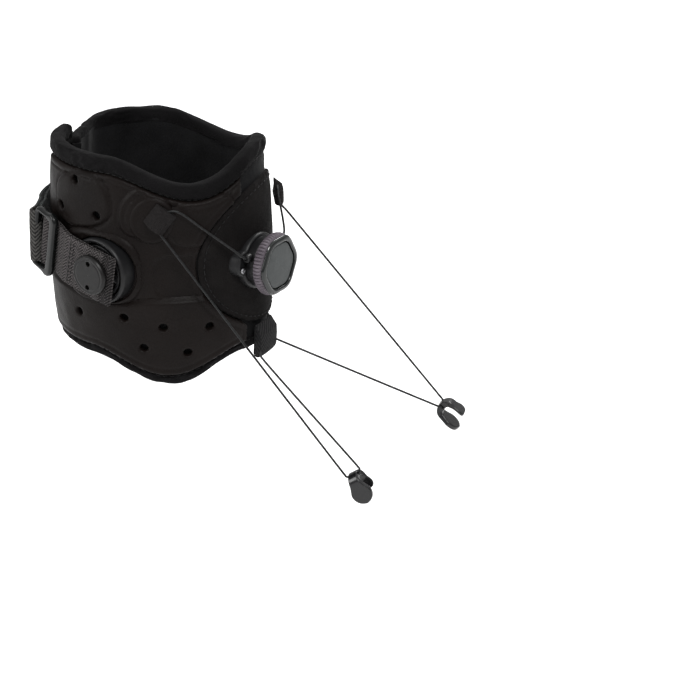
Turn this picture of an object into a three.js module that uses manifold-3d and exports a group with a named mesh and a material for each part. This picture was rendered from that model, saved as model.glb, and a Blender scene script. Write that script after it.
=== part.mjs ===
// An ankle cuff that lifts the front of the foot. A padded cuff with moulded side shells is closed
// behind the leg by a strap, and a reel dial on its front winds one thin lace, which runs through
// webbing guides to two hooks on the shoe.
// Millimetres. +X is the front of the leg, -Y its outer side, +Z is up, the origin is on the leg's axis.
import * as THREE from "three";
import { mergeVertices } from "three/addons/utils/BufferGeometryUtils.js";
import Module from "manifold-3d";

const wasm = await Module();
wasm.setup();

// ---- driving dimensions ----
const GAP = 0.35; // between touching pieces
const HALF_LENGTH = 52; // the cuff's working surface, half its front-to-back size
const HALF_WIDTH = 44; // and half its side-to-side size
const MID_HEIGHT = 58;
const HALF_HEIGHT = 55;
const WAIST = 2.6; // the cuff is this much slimmer at its rims
const MIRROR = 180; // a turn t on the outer side lies at MIRROR - t on the inner side

const PAD = { from: -100, to: 292, thickness: 4.6, tuckStart: 225, tuckEnd: 262, tuck: 8.2 };
const RIM = { top: 113, bottom: 12, roll: 4.0, tuckedRoll: 2.9, lowRoll: 3.0 };
const TOP_DIP = { outer: { at: 34, depth: 12 }, inner: { at: 146, depth: 9 }, reach: 50 };
const LOBE = { at: 16, depth: 12, reach: 44 };

const SHELL = { from: -70, to: 62, thickness: 2.4 };
const VENT_RADIUS = 1.9;
const PATCH = { turn: 88, z: 60, rx: 44, rz: 36, back: 0.2, thickness: 2.0 };

const PIVOT = { turn: -16.5, z: 59, tilt: 12, rearward: 9, ringOuter: 16, ringInner: 12.2 };
const PANEL = { rx: 22, rz: 19.5, top: 4.0 };
const WEBBING = { width: 25, layer: 1.3 };
const DIAL = { turn: 72, z: 57.5, facing: 70, radius: 15, sink: 1.2 };
const LACE_RADIUS = 0.55;
const LACE_CLEARANCE = 0.85;
const HOOK = { gap: 6.0, plate: 2.6, tongue: 1.7, length: 15.5, halfWidth: 5.4, eyeHalfWidth: 2.5 };

const rad = THREE.MathUtils.degToRad;
const lerp = THREE.MathUtils.lerp;

// ---- the cuff's surface ----
// A point at a turn round the leg (0 faces the outer side, 90 the front), a height, and a distance
// out from the working surface.
function onCuff(turn, z, out, target = new THREE.Vector3()) {
  const s = Math.sin(rad(turn));
  const c = Math.cos(rad(turn));
  const nx = HALF_WIDTH * s;
  const ny = -HALF_LENGTH * c;
  const n = Math.hypot(nx, ny);
  const w = out - WAIST * ((z - MID_HEIGHT) / HALF_HEIGHT) ** 2;
  return target.set(HALF_LENGTH * s + (nx / n) * w, -HALF_WIDTH * c + (ny / n) * w, z);
}

function moveVertices(geometry, move) {
  const p = geometry.attributes.position;
  const v = new THREE.Vector3();
  for (let i = 0; i < p.count; i++) {
    move(v.fromBufferAttribute(p, i));
    p.setXYZ(i, v.x, v.y, v.z);
  }
  geometry.computeVertexNormals();
  return geometry;
}

// Bends a flat piece onto the cuff: x runs round the leg, y is up, z is the distance out.
function wrap(geometry, turn, z) {
  const perDegree = rad(Math.hypot(HALF_LENGTH * Math.cos(rad(turn)), HALF_WIDTH * Math.sin(rad(turn))));
  return moveVertices(geometry, (v) => onCuff(turn + v.x / perDegree, z + v.y, v.z, v));
}

// A band of the cuff between two turns, with its rims and its faces given as functions of the turn.
function band({ from, to, low, high, inside, outside, along, up }) {
  return moveVertices(new THREE.BoxGeometry(1, 1, 1, along, up, 1), (v) => {
    const turn = lerp(from, to, v.x + 0.5);
    const z = lerp(low(turn), high(turn), v.y + 0.5);
    onCuff(turn, z, lerp(inside(turn), outside(turn), v.z + 0.5), v);
  });
}

// A round edge that follows a rim.
function roll({ from, to, height, out, radius, along, sides }) {
  return moveVertices(new THREE.CylinderGeometry(1, 1, 1, sides, along), (v) => {
    const turn = lerp(from, to, v.y + 0.5);
    onCuff(turn, height(turn) + v.z * radius(turn), out(turn) + v.x * radius(turn), v);
  });
}

// The whole space inside the cuff's surface, used to shape the backs of pieces that sit on it.
function core(out) {
  return moveVertices(new THREE.CylinderGeometry(1, 1, 140, 96, 8), (v) => {
    const z = v.y + MID_HEIGHT;
    if (Math.hypot(v.x, v.z) < 0.5) v.set(0, 0, z);
    else onCuff(THREE.MathUtils.radToDeg(Math.atan2(v.x, v.z)), z, out, v);
  });
}

function bump(turn, at, reach) {
  const d = Math.min(1, Math.abs(turn - at) / reach);
  return Math.cos((d * Math.PI) / 2) ** 2;
}

function rimTop(turn) {
  const { outer, inner, reach } = TOP_DIP;
  return RIM.top - outer.depth * bump(turn, outer.at, reach) - inner.depth * bump(turn, inner.at, reach);
}

function rimBottom(turn) {
  const both = bump(turn, LOBE.at, LOBE.reach) + bump(turn, MIRROR - LOBE.at, LOBE.reach);
  return RIM.bottom - LOBE.depth * both;
}

// The inner flap of the pad slips inwards, under the outer flap, behind the leg.
function tuck(turn) {
  return -PAD.tuck * THREE.MathUtils.smoothstep(turn, PAD.tuckStart, PAD.tuckEnd);
}

function rollRadius(turn) {
  return lerp(RIM.roll, RIM.tuckedRoll, THREE.MathUtils.smoothstep(turn, PAD.tuckStart, PAD.tuckEnd));
}

const lowRadius = (turn) => Math.min(RIM.lowRoll, rollRadius(turn));

// ---- solids ----
function solid(geometry) {
  const bare = geometry.clone();
  bare.deleteAttribute("normal");
  bare.deleteAttribute("uv");
  const merged = mergeVertices(bare, 1e-4);
  const vertProperties = merged.attributes.position.array;
  const triVerts = new Uint32Array(merged.index.array);
  return new wasm.Manifold(new wasm.Mesh({ numProp: 3, vertProperties, triVerts }));
}

function shapeOf(made) {
  const mesh = made.getMesh();
  const geometry = new THREE.BufferGeometry();
  geometry.setAttribute("position", new THREE.BufferAttribute(mesh.vertProperties, 3));
  geometry.setIndex(new THREE.BufferAttribute(mesh.triVerts, 1));
  geometry.computeVertexNormals();
  return geometry;
}

function cut(geometry, ...cutters) {
  return shapeOf(cutters.reduce((body, cutter) => body.subtract(solid(cutter)), solid(geometry)));
}

function join(geometry, ...others) {
  return shapeOf(others.reduce((body, other) => body.add(solid(other)), solid(geometry)));
}

// A cylinder standing on z, from one height to another.
function peg(radius, low, high, sides = 24, x = 0, y = 0) {
  return new THREE.CylinderGeometry(radius, radius, high - low, sides)
    .rotateX(Math.PI / 2)
    .translate(x, y, (low + high) / 2);
}

// A ring or turned piece standing on z, from [radius, height] pairs in order round its section.
function turned(profile, sides = 36) {
  const points = profile.map(([r, h]) => new THREE.Vector2(r, h));
  return new THREE.LatheGeometry(points, sides).rotateX(Math.PI / 2);
}

function tubeRing(inner, outer, low, high, sides = 36) {
  return turned([[inner, low], [outer, low], [outer, high], [inner, high], [inner, low]], sides);
}

// An oval pad with rings of vertices, ready to be wrapped.
function oval(rx, ry, low, high, rings, sides) {
  const profile = [];
  for (let i = 0; i <= rings; i++) profile.push([i / rings, low]);
  for (let i = rings; i >= 0; i--) profile.push([i / rings, high]);
  return turned(profile, sides).scale(rx, ry, 1);
}

function block(width, height, low, high, along = 4, up = 4) {
  return new THREE.BoxGeometry(width, height, high - low, along, up, 1).translate(0, 0, (low + high) / 2);
}

function extrude(shape, depth, curveSegments = 8) {
  return new THREE.ExtrudeGeometry(shape, { depth, bevelEnabled: false, curveSegments });
}

function roundedRect(width, height, radius, Kind = THREE.Shape) {
  const x = width / 2;
  const y = height / 2;
  const outline = new Kind();
  outline.absarc(x - radius, y - radius, radius, 0, Math.PI / 2);
  outline.absarc(-x + radius, y - radius, radius, Math.PI / 2, Math.PI);
  outline.absarc(-x + radius, -y + radius, radius, Math.PI, 1.5 * Math.PI);
  outline.absarc(x - radius, -y + radius, radius, 1.5 * Math.PI, 2 * Math.PI);
  return outline;
}

// A side outline drawn in x and z, extruded both ways along y.
function fromSide(shape, width) {
  return extrude(shape, width).translate(0, 0, -width / 2).rotateX(Math.PI / 2);
}

// ---- materials ----
const finish = (color, roughness, metalness = 0) =>
  new THREE.MeshStandardMaterial({ color, roughness, metalness });
const fabric = finish(0x17181a, 0.95);
const shellSkin = finish(0x241f1d, 0.8);
const webbing = finish(0x3a3a3c, 0.9);
const plastic = finish(0x15161a, 0.45);
const gloss = finish(0x0c0d10, 0.2);
const rubber = finish(0x5b5060, 0.7);
const capSkin = finish(0x3a3f3f, 0.55);
const steel = finish(0x9a9ca0, 0.35, 1);
const laceSkin = finish(0x26282b, 0.5, 0.4);

const cuff = new THREE.Group();

function add(group, name, geometry, material) {
  const mesh = new THREE.Mesh(geometry, material);
  mesh.name = name;
  group.add(mesh);
  return mesh;
}

// ---- the lace ----
// One coated steel lace: out of the dial's outer port, through the outer guide, the outer hook, the
// front loop, the inner hook and the inner guide, and back into the dial's inner port.
const LACE_ROUTE = [
  // Out of the dial's outer port and straight to the outer guide.
  [51.5, -24, 63], [49.5, -29.5, 64], [44.5, -32.5, 69], [34, -38.5, 79.5],
  // Over and back inside the outer guide, then down.
  [24, -44, 89.5], [20, -45.5, 91], [15.5, -46.5, 89], [13, -47.5, 85], [14, -47.5, 81], [18, -47, 75],
  // Through the outer hook's eye.
  [97.5, -30.5, -45.5], [99, -30, -46], [100.5, -30, -45.5], [102.5, -30, -44], [104, -30, -42.5],
  [104, -30, -40.5],
  // Up, across inside the front loop, and down.
  [53.5, -19.5, 9], [52.5, -16.5, 12.5], [53.5, -13, 14.5], [54.5, -9, 15], [55, -5.5, 14], [56, -3, 12],
  // Through the inner hook's eye.
  [134.5, 22.5, -30], [135.5, 24.5, -30.5], [135.5, 27.5, -30.5], [135, 29.5, -30], [134, 30.5, -29],
  // Up and over inside the inner guide.
  [59, 14.5, 72], [55.5, 14.5, 76], [54.5, 15, 80], [54.5, 14, 84], [55, 11, 86], [56, 8, 85.5],
  [57, 5.5, 82.5],
  // Down to the dial's inner port, and straight in.
  [59.5, 3, 73], [60.5, 1.5, 66.5], [60, -1.5, 63.5], [57.5, -7, 63],
].map(([x, y, z]) => new THREE.Vector3(x, y, z));

// The route steps from point to point, so the long straight runs are one step each.
class LaceCurve extends THREE.Curve {
  getPoint(t, target = new THREE.Vector3()) {
    const at = t * (LACE_ROUTE.length - 1);
    const i = Math.min(Math.floor(at), LACE_ROUTE.length - 2);
    return target.lerpVectors(LACE_ROUTE[i], LACE_ROUTE[i + 1], at - i);
  }
  getPointAt(u, target) {
    return this.getPoint(u, target);
  }
  getTangent(t, target = new THREE.Vector3()) {
    const i = Math.round(t * (LACE_ROUTE.length - 1));
    const before = LACE_ROUTE[Math.max(i - 1, 0)];
    const here = LACE_ROUTE[i];
    const after = LACE_ROUTE[Math.min(i + 1, LACE_ROUTE.length - 1)];
    const incoming = here.clone().sub(before).normalize();
    return target.subVectors(after, here).normalize().add(incoming).normalize();
  }
  getTangentAt(u, target) {
    return this.getTangent(u, target);
  }
}

function laceTube(radius) {
  const section = new THREE.Shape();
  section.absarc(0, 0, radius, 0, 2 * Math.PI);
  return new THREE.ExtrudeGeometry(section, {
    steps: LACE_ROUTE.length - 1,
    curveSegments: 4,
    bevelEnabled: false,
    extrudePath: new LaceCurve(),
  });
}

const laceChannel = laceTube(LACE_CLEARANCE);

// ---- soft cuff ----
const padFace = (turn) => tuck(turn) - GAP;
const padBack = (turn) => tuck(turn) - GAP - PAD.thickness;
const rollOut = (turn) => tuck(turn) - GAP - PAD.thickness / 2 + 0.6;
const whole = { from: PAD.from, to: PAD.to, along: 72 };

const padBand = band({
  ...whole,
  low: (turn) => rimBottom(turn) + 2 * lowRadius(turn) + GAP,
  high: (turn) => rimTop(turn) - 2 * rollRadius(turn) - GAP,
  inside: padBack,
  outside: padFace,
  up: 4,
});
add(cuff, "inner_pad", padBand, fabric);

const topHeight = (turn) => rimTop(turn) - rollRadius(turn);
const bottomHeight = (turn) => rimBottom(turn) + lowRadius(turn);
const rim = { ...whole, out: rollOut, sides: 8 };
add(cuff, "top_binding", roll({ ...rim, height: topHeight, radius: rollRadius }), fabric);
add(cuff, "bottom_binding", roll({ ...rim, height: bottomHeight, radius: lowRadius }), fabric);

// ---- moulded shells ----
const shellLow = (turn) => rimBottom(turn) + 2 * RIM.lowRoll + GAP;
const shellHigh = (turn) => rimTop(turn) - 2 * RIM.roll - GAP;
const VENTS = [
  [-33, 100], [-45, 85], [-19, 85], [-34, 34], [-6, 36], [14, 32], [38, 31], [3.5, 21], [26, 18.5],
];

function ventCutters(place) {
  return VENTS.map(([turn, z]) => {
    const centre = onCuff(place(turn), z, 0);
    const outer = onCuff(place(turn), z, 6);
    const way = outer.clone().sub(centre).normalize();
    const drill = new THREE.CylinderGeometry(VENT_RADIUS, VENT_RADIUS, 8, 10);
    const facing = new THREE.Quaternion().setFromUnitVectors(new THREE.Vector3(0, 1, 0), way);
    return drill.applyQuaternion(facing).translate(centre.x, centre.y, centre.z);
  });
}

const patchHole = wrap(oval(PATCH.rx + GAP, PATCH.rz + GAP, -4, 9, 4, 36), PATCH.turn, PATCH.z);

function shell(place) {
  const ends = [place(SHELL.from), place(SHELL.to)];
  const panel = band({
    from: Math.min(...ends),
    to: Math.max(...ends),
    low: shellLow,
    high: shellHigh,
    inside: () => 0,
    outside: () => SHELL.thickness,
    along: 24,
    up: 4,
  });
  return cut(panel, patchHole, ...ventCutters(place));
}

add(cuff, "outer_shell", shell((turn) => turn), shellSkin);
add(cuff, "inner_shell", shell((turn) => MIRROR - turn), shellSkin);

const patch = oval(PATCH.rx, PATCH.rz, PATCH.back, PATCH.thickness, 6, 32);
add(cuff, "front_patch", wrap(patch, PATCH.turn, PATCH.z), fabric);

// The panel that spreads the strap's pull over the outer shell, with a round hole for the pivot.
const overShell = SHELL.thickness + GAP;
const panelHole = wrap(oval(PIVOT.ringOuter + GAP, PIVOT.ringOuter + GAP, 0, 8, 2, 32), PIVOT.turn, PIVOT.z);
const panelDisc = oval(PANEL.rx, PANEL.rz, overShell, PANEL.top, 2, 32);
add(cuff, "pivot_panel", cut(wrap(panelDisc, PIVOT.turn, PIVOT.z), panelHole), shellSkin);

// ---- strap pivot ----
// A group whose z axis points straight out of the cuff and whose x axis runs towards the front.
function groupOnCuff(turn, z, out, facing) {
  const group = new THREE.Group();
  const toFront = new THREE.Vector3(Math.cos(rad(facing)), Math.sin(rad(facing)), 0);
  const outwards = new THREE.Vector3(Math.sin(rad(facing)), -Math.cos(rad(facing)), 0);
  const basis = new THREE.Matrix4().makeBasis(toFront, new THREE.Vector3(0, 0, 1), outwards);
  group.quaternion.setFromRotationMatrix(basis);
  onCuff(turn, z, out, group.position);
  cuff.add(group);
  group.updateMatrixWorld(true);
  return group;
}

const normalAt = (turn) =>
  THREE.MathUtils.radToDeg(Math.atan2(HALF_WIDTH * Math.sin(rad(turn)), HALF_LENGTH * Math.cos(rad(turn))));
const inFrameOf = (group, geometry) => geometry.clone().applyMatrix4(group.matrixWorld.clone().invert());

const pivot = groupOnCuff(PIVOT.turn, PIVOT.z, 0, normalAt(PIVOT.turn) - PIVOT.rearward);
const LIP_RADIUS = 10.8;
const pivotRing = turned([
  [PIVOT.ringInner, -3], [PIVOT.ringOuter, -3], [PIVOT.ringOuter, 4.6], [PIVOT.ringOuter - 1, 5.8],
  [LIP_RADIUS, 5.8], [LIP_RADIUS, 5.1], [PIVOT.ringInner, 5.1], [PIVOT.ringInner, -3],
]);
add(pivot, "pivot_ring", cut(pivotRing, inFrameOf(pivot, core(overShell))), plastic);

const strapTab = new THREE.Group();
strapTab.rotation.z = -rad(PIVOT.tilt);
pivot.add(strapTab);

const SHANK_RADIUS = 2.6;
const WINDOWS = { turns: [45, 135, 225, 315], half: 30, inner: 5, outer: 9 };
const SPANNER_HOLE = { radius: 1.2, y: 6, low: 10.6 };
const TAB = { low: 6.7, high: 9.3, front: 11.5, bend: -8 };
const disc = cut(
  turned([[0, 3.2], [PIVOT.ringInner - 0.5, 3.2], [PIVOT.ringInner - 0.5, 4.7], [LIP_RADIUS - 0.4, 4.8],
    [LIP_RADIUS - 0.4, 6.3], [0, 6.3]]),
  peg(SHANK_RADIUS + GAP, 0, 9),
  ...WINDOWS.turns.map((turn) => {
    const ends = [rad(turn - WINDOWS.half), rad(turn + WINDOWS.half)];
    const window = new THREE.Shape();
    window.absarc(0, 0, WINDOWS.outer, ends[0], ends[1]);
    window.absarc(0, 0, WINDOWS.inner, ends[1], ends[0], true);
    return extrude(window, 9, 6);
  }),
);
add(strapTab, "swivel_disc", disc, plastic);

const cap = turned([
  [0, 3.6], [SHANK_RADIUS, 3.6], [SHANK_RADIUS, 9.6], [10, 9.6], [10, 11.2], [9.2, 12.2], [0, 12.5],
]);
const spannerHoles = [-1, 1].map((side) =>
  peg(SPANNER_HOLE.radius, SPANNER_HOLE.low, 14, 12, 0, side * SPANNER_HOLE.y));
add(strapTab, "rivet_cap", cut(cap, ...spannerHoles), plastic);

// The buckle ring: a rounded frame whose front bar is held in the tab's fold.
const BUCKLE = { x: -34.6, z: 4.4, lean: 13.8, length: 17, height: 31.4, thickness: 3.2 };
const FRONT_BAR = 4.4;
const SIDE_BAR = 2.7;
const buckleShape = roundedRect(BUCKLE.length, BUCKLE.height, 3.2);
const windowLength = BUCKLE.length - FRONT_BAR - SIDE_BAR;
const windowHeight = BUCKLE.height - 2 * SIDE_BAR;
const buckleWindow = roundedRect(windowLength, windowHeight, 1.2, THREE.Path);
const windowShift = (SIDE_BAR - FRONT_BAR) / 2;
buckleShape.holes.push(
  new THREE.Path(buckleWindow.getPoints(4).map((p) => new THREE.Vector2(p.x + windowShift, p.y))),
);
const buckle = extrude(buckleShape, BUCKLE.thickness, 5)
  .translate(0, 0, -BUCKLE.thickness / 2)
  .rotateY(-rad(BUCKLE.lean))
  .translate(BUCKLE.x, 0, BUCKLE.z);
add(strapTab, "buckle_ring", buckle, gloss);

// A webbing fold round one bar of the buckle, seen from the side: an eye with a tail.
function barCentre(along) {
  const lean = rad(BUCKLE.lean);
  return new THREE.Vector2(BUCKLE.x + along * Math.cos(lean), BUCKLE.z + along * Math.sin(lean));
}

function fold(at, barWidth, tail) {
  const hole = new THREE.Vector2(barWidth / 2 + GAP, BUCKLE.thickness / 2 + GAP);
  const wall = hole.clone().addScalar(WEBBING.layer);
  const eye = fromSide(roundedRect(2 * wall.x, 2 * wall.y, 1.6), WEBBING.width);
  const space = fromSide(roundedRect(2 * hole.x, 2 * hole.y, 0.3), WEBBING.width + 2);
  const place = (geometry) => geometry.rotateY(-rad(BUCKLE.lean)).translate(at.x, 0, at.y);
  return cut(join(place(eye), tail), place(space));
}

const frontBarAt = barCentre(BUCKLE.length / 2 - FRONT_BAR / 2);
const rearBarAt = barCentre(-BUCKLE.length / 2 + SIDE_BAR / 2);
const tabSide = new THREE.Shape();
tabSide.moveTo(TAB.front, TAB.low);
tabSide.lineTo(TAB.front, TAB.high);
tabSide.lineTo(TAB.bend, TAB.high);
tabSide.lineTo(frontBarAt.x + 2.9, frontBarAt.y + 2.7);
tabSide.lineTo(frontBarAt.x + 2.9, frontBarAt.y - 0.4);
tabSide.lineTo(TAB.bend, TAB.low);
const tab = cut(
  fold(frontBarAt, FRONT_BAR, fromSide(tabSide, WEBBING.width)),
  peg(SHANK_RADIUS + GAP, 0, 20),
);
add(strapTab, "webbing_tab", tab, webbing);

const TAIL = 6.4;
const tailSide = new THREE.Shape();
tailSide.moveTo(rearBarAt.x - 2.6, rearBarAt.y - 1.6);
tailSide.lineTo(rearBarAt.x + 2.0, rearBarAt.y - 2.2);
tailSide.lineTo(rearBarAt.x + 0.6, rearBarAt.y - TAIL);
tailSide.lineTo(rearBarAt.x - 3.4, rearBarAt.y - TAIL);
add(strapTab, "strap_fold", fold(rearBarAt, SIDE_BAR, fromSide(tailSide, WEBBING.width)), webbing);

// ---- rear strap ----
const STRAP = { thickness: 3.2, low: 54.5, high: 79.5 };
const strapLine = new THREE.CatmullRomCurve3([
  new THREE.Vector3(-55.5, -13, 0),
  new THREE.Vector3(-57.5, -6, 0),
  new THREE.Vector3(-58.5, 2, 0),
  new THREE.Vector3(-58, 10, 0),
  ...[236, 226, 216, 206].map((turn) => onCuff(turn, MID_HEIGHT, 5.9).setZ(0)),
]);
const strapSteps = 16;
const strapEdge = (side) =>
  Array.from({ length: strapSteps + 1 }, (_, i) => {
    const p = strapLine.getPointAt(i / strapSteps);
    const way = strapLine.getTangentAt(i / strapSteps);
    const half = (side * STRAP.thickness) / 2;
    return new THREE.Vector2(p.x - way.y * half, p.y + way.x * half);
  });
const strapPlan = new THREE.Shape([...strapEdge(1), ...strapEdge(-1).reverse()]);
const strap = extrude(strapPlan, STRAP.high - STRAP.low).translate(0, 0, STRAP.low);
add(cuff, "rear_strap", strap, webbing);
const LANDING = { width: 34, height: 30, thickness: 1.1, turn: 217, z: 67 };
const landing = block(LANDING.width, LANDING.height, overShell, overShell + LANDING.thickness, 6, 3);
add(cuff, "strap_landing", wrap(landing, LANDING.turn, LANDING.z), fabric);

// ---- dial ----
const dial = groupOnCuff(DIAL.turn, DIAL.z, PATCH.thickness + GAP - DIAL.sink, DIAL.facing);
const patchCore = inFrameOf(dial, core(PATCH.thickness + GAP));
const dialChannel = inFrameOf(dial, laceChannel);
const PORT_LUG = { x: 14.8, width: 6.5, low: -3.5, high: 9.5, top: 2.6 };
const SCREW = { x: 15.2, y: 0, hole: 0.95, shank: 0.6, head: 1.5 };
const FLANGE_RADIUS = 13.8;
const HOUSING = { low: 2.95, depth: 4.3, radius: 12.2 };
const sides = [-1, 1];

const lugs = sides.map((side) =>
  new THREE.BoxGeometry(PORT_LUG.width, PORT_LUG.high - PORT_LUG.low, 11)
    .translate(side * PORT_LUG.x, (PORT_LUG.high + PORT_LUG.low) / 2, PORT_LUG.top - 5.5));
const screwHoles = sides.map((side) => peg(SCREW.hole, -8, 6, 12, side * SCREW.x, SCREW.y));
const plate = peg(FLANGE_RADIUS, -8, PORT_LUG.top, 36);
const flange = cut(join(plate, ...lugs), patchCore, dialChannel, ...screwHoles);
add(dial, "dial_flange", flange, plastic);
sides.forEach((side, i) => {
  const seat = PORT_LUG.top + 0.3;
  const screw = turned([[0, -0.6], [SCREW.shank, -0.6], [SCREW.shank, seat], [SCREW.head, seat],
    [SCREW.head, seat + 0.6], [SCREW.head - 0.4, seat + 0.9], [0, seat + 0.9]], 12);
  add(dial, `dial_screw_${i + 1}`, screw.translate(side * SCREW.x, SCREW.y, 0), steel);
});

// The housing's bore has the teeth that the pawls click over.
const TEETH = { count: 24, tip: 9.6, root: 10.4, lean: 0.7 };
const housingShape = new THREE.Shape();
housingShape.absarc(0, 0, HOUSING.radius, 0, 2 * Math.PI);
const toothPath = Array.from({ length: 2 * TEETH.count }, (_, i) => {
  const r = i % 2 ? TEETH.root : TEETH.tip;
  const turn = ((i + (i % 2) * TEETH.lean) * Math.PI) / TEETH.count;
  return new THREE.Vector2(r * Math.cos(turn), r * Math.sin(turn));
});
housingShape.holes.push(new THREE.Path(toothPath));
const housing = cut(extrude(housingShape, HOUSING.depth, 18).translate(0, 0, HOUSING.low), dialChannel);
add(dial, "dial_housing", housing, plastic);

const BORE = 2.2;
const spool = turned([
  [BORE, 2.95], [8.2, 2.95], [8.2, 3.5], [5.8, 3.9], [5.8, 4.9], [8.2, 5.2], [8.2, 5.6], [BORE, 5.6],
  [BORE, 2.95],
], 30);
add(dial, "spool", spool, plastic);
const POST = { radius: 1.85, headRadius: 5.6, headLow: 12.15, top: 12.55 };
const postHead = peg(POST.headRadius, POST.headLow, POST.top, 24);
add(dial, "centre_post", join(peg(POST.radius, HOUSING.low, POST.top, 20), postHead), steel);

const PAWL = { low: 5.95, high: 7.05, discRadius: 6.8, armLength: 3.4, armWidth: 4, armAt: 7.2 };
const pawlArm = block(PAWL.armLength, PAWL.armWidth, PAWL.low, PAWL.high, 1, 1).translate(PAWL.armAt, 1, 0);
const pawlArms = [0, 120, 240].map((turn) => pawlArm.clone().rotateZ(rad(turn)));
const pawlPlate = peg(PAWL.discRadius, PAWL.low, PAWL.high, 24);
const pawlDisc = cut(join(pawlPlate, ...pawlArms), peg(BORE, 0, 9, 20));
add(dial, "pawl_disc", pawlDisc, plastic);

const KNOB = { low: 7.6, gripTop: 12.4, coreRadius: 12.2 };
const BEZEL = { outer: 14.1, inner: 11.2, depth: 1.6, flats: 0.035 };
const CAP = { low: 13.0, depth: 0.9 };
const knobCore = turned([
  [BORE, KNOB.low], [KNOB.coreRadius, KNOB.low], [KNOB.coreRadius, 12.2], [6, 12.2], [6, 11.8],
  [BORE, 11.8], [BORE, KNOB.low],
]);
add(dial, "knob_core", knobCore, plastic);

const RIDGES = { count: 40, depth: 0.55 };
const gripShape = new THREE.Shape(
  Array.from({ length: 2 * RIDGES.count }, (_, i) => {
    const r = DIAL.radius - (i % 2) * RIDGES.depth;
    const turn = (i * Math.PI) / RIDGES.count;
    return new THREE.Vector2(r * Math.cos(turn), r * Math.sin(turn));
  }),
);
gripShape.holes.push(new THREE.Path().absarc(0, 0, KNOB.coreRadius + GAP, 0, 2 * Math.PI));
const grip = extrude(gripShape, KNOB.gripTop - KNOB.low, 18).translate(0, 0, KNOB.low);
add(dial, "knob_grip", grip, rubber);

// The bezel and the cap share a softly six-sided outline.
function softHexagon(radius, points = 48) {
  return Array.from({ length: points }, (_, i) => {
    const turn = (i * 2 * Math.PI) / points;
    const r = radius * (1 + BEZEL.flats * Math.cos(6 * turn));
    return new THREE.Vector2(r * Math.cos(turn), r * Math.sin(turn));
  });
}
const bezelShape = new THREE.Shape(softHexagon(BEZEL.outer));
bezelShape.holes.push(new THREE.Path(softHexagon(BEZEL.inner)));
add(dial, "knob_bezel", extrude(bezelShape, BEZEL.depth).translate(0, 0, KNOB.gripTop + GAP), gloss);
const capShape = new THREE.Shape(softHexagon(BEZEL.inner - GAP));
add(dial, "knob_cap", extrude(capShape, CAP.depth).translate(0, 0, CAP.low), capSkin);

// ---- lace guides ----
const GUIDE = { length: 14.4, width: 11.4, low: 3.9, high: 7.9, slant: 31, turn: 15.5, z: 86.5 };
const INNER_GUIDE = { turn: 106, z: 81.5 };

function guide(turn, z, slant) {
  const body = block(GUIDE.width, GUIDE.length, GUIDE.low, GUIDE.high, 3, 3).rotateZ(rad(slant));
  return cut(wrap(body, turn, z), laceChannel);
}

const GUIDE_PATCH = { rx: 11.5, rz: 13.5, thickness: 0.8, lean: 20, turn: 11, z: 89 };
const guideOval = oval(GUIDE_PATCH.rx, GUIDE_PATCH.rz, overShell, overShell + GUIDE_PATCH.thickness, 2, 24)
  .rotateZ(-rad(GUIDE_PATCH.lean));
add(cuff, "outer_guide_patch", wrap(guideOval, GUIDE_PATCH.turn, GUIDE_PATCH.z), shellSkin);
add(cuff, "outer_guide", guide(GUIDE.turn, GUIDE.z, -GUIDE.slant), webbing);
add(cuff, "inner_guide", guide(INNER_GUIDE.turn, INNER_GUIDE.z, GUIDE.slant), webbing);

const LOOP = { width: 17, height: 16, low: 2.9, high: 7.0, turn: 78, z: 15.5 };
const frontLoop = wrap(block(LOOP.width, LOOP.height, LOOP.low, LOOP.high, 5, 3), LOOP.turn, LOOP.z);
add(cuff, "front_loop", cut(frontLoop, laceChannel), webbing);

// ---- shoe hooks ----
// Seen from the side, a hook is a plate and a thinner tongue joined at the eye that the lace runs
// through. x runs from the eye to the tip, z points out of the plate, and y is the eye's axis.
function hook() {
  const outer = HOOK.gap / 2 + HOOK.plate;
  const back = HOOK.gap / 2 + HOOK.tongue;
  const half = HOOK.gap / 2;
  const eyeEnd = 2.2;
  const side = new THREE.Shape();
  side.moveTo(HOOK.length - 2, half + 0.6);
  side.lineTo(HOOK.length - 2, outer - 0.4);
  side.lineTo(4, outer);
  side.lineTo(0, outer - 1.2);
  side.lineTo(-eyeEnd, 1.6);
  side.lineTo(-eyeEnd, -1.6);
  side.lineTo(0, -back + 1.2);
  side.lineTo(3, -back);
  side.lineTo(HOOK.length - 5.5, -back);
  side.lineTo(HOOK.length - 4.6, -half - 0.5);
  side.lineTo(HOOK.length - 5.5, -half);
  side.lineTo(3.2, -half);
  side.lineTo(2.4, -half + 1);
  side.lineTo(2.4, half - 1);
  side.lineTo(3.2, half);
  side.lineTo(HOOK.length - 3, half);
  const plan = new THREE.Shape();
  plan.moveTo(-eyeEnd - 0.4, -HOOK.eyeHalfWidth);
  plan.lineTo(0.6, -HOOK.eyeHalfWidth);
  plan.quadraticCurveTo(4.5, -HOOK.halfWidth, 8, -HOOK.halfWidth);
  plan.absarc(HOOK.length - HOOK.halfWidth - 1, 0, HOOK.halfWidth, -Math.PI / 2, Math.PI / 2);
  plan.lineTo(8, HOOK.halfWidth);
  plan.quadraticCurveTo(4.5, HOOK.halfWidth, 0.6, HOOK.eyeHalfWidth);
  plan.lineTo(-eyeEnd - 0.4, HOOK.eyeHalfWidth);
  const slab = extrude(plan, 14, 6).translate(0, 0, -7);
  const eye = new THREE.LatheGeometry([
    [0, -3], [1.4, -3], [LACE_CLEARANCE, -1], [LACE_CLEARANCE, 1], [1.4, 3], [0, 3],
  ].map(([r, y]) => new THREE.Vector2(r, y)), 12);
  const full = solid(fromSide(side, 2 * HOOK.halfWidth + 2)).intersect(solid(slab));
  return shapeOf(full.subtract(solid(eye)));
}

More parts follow.
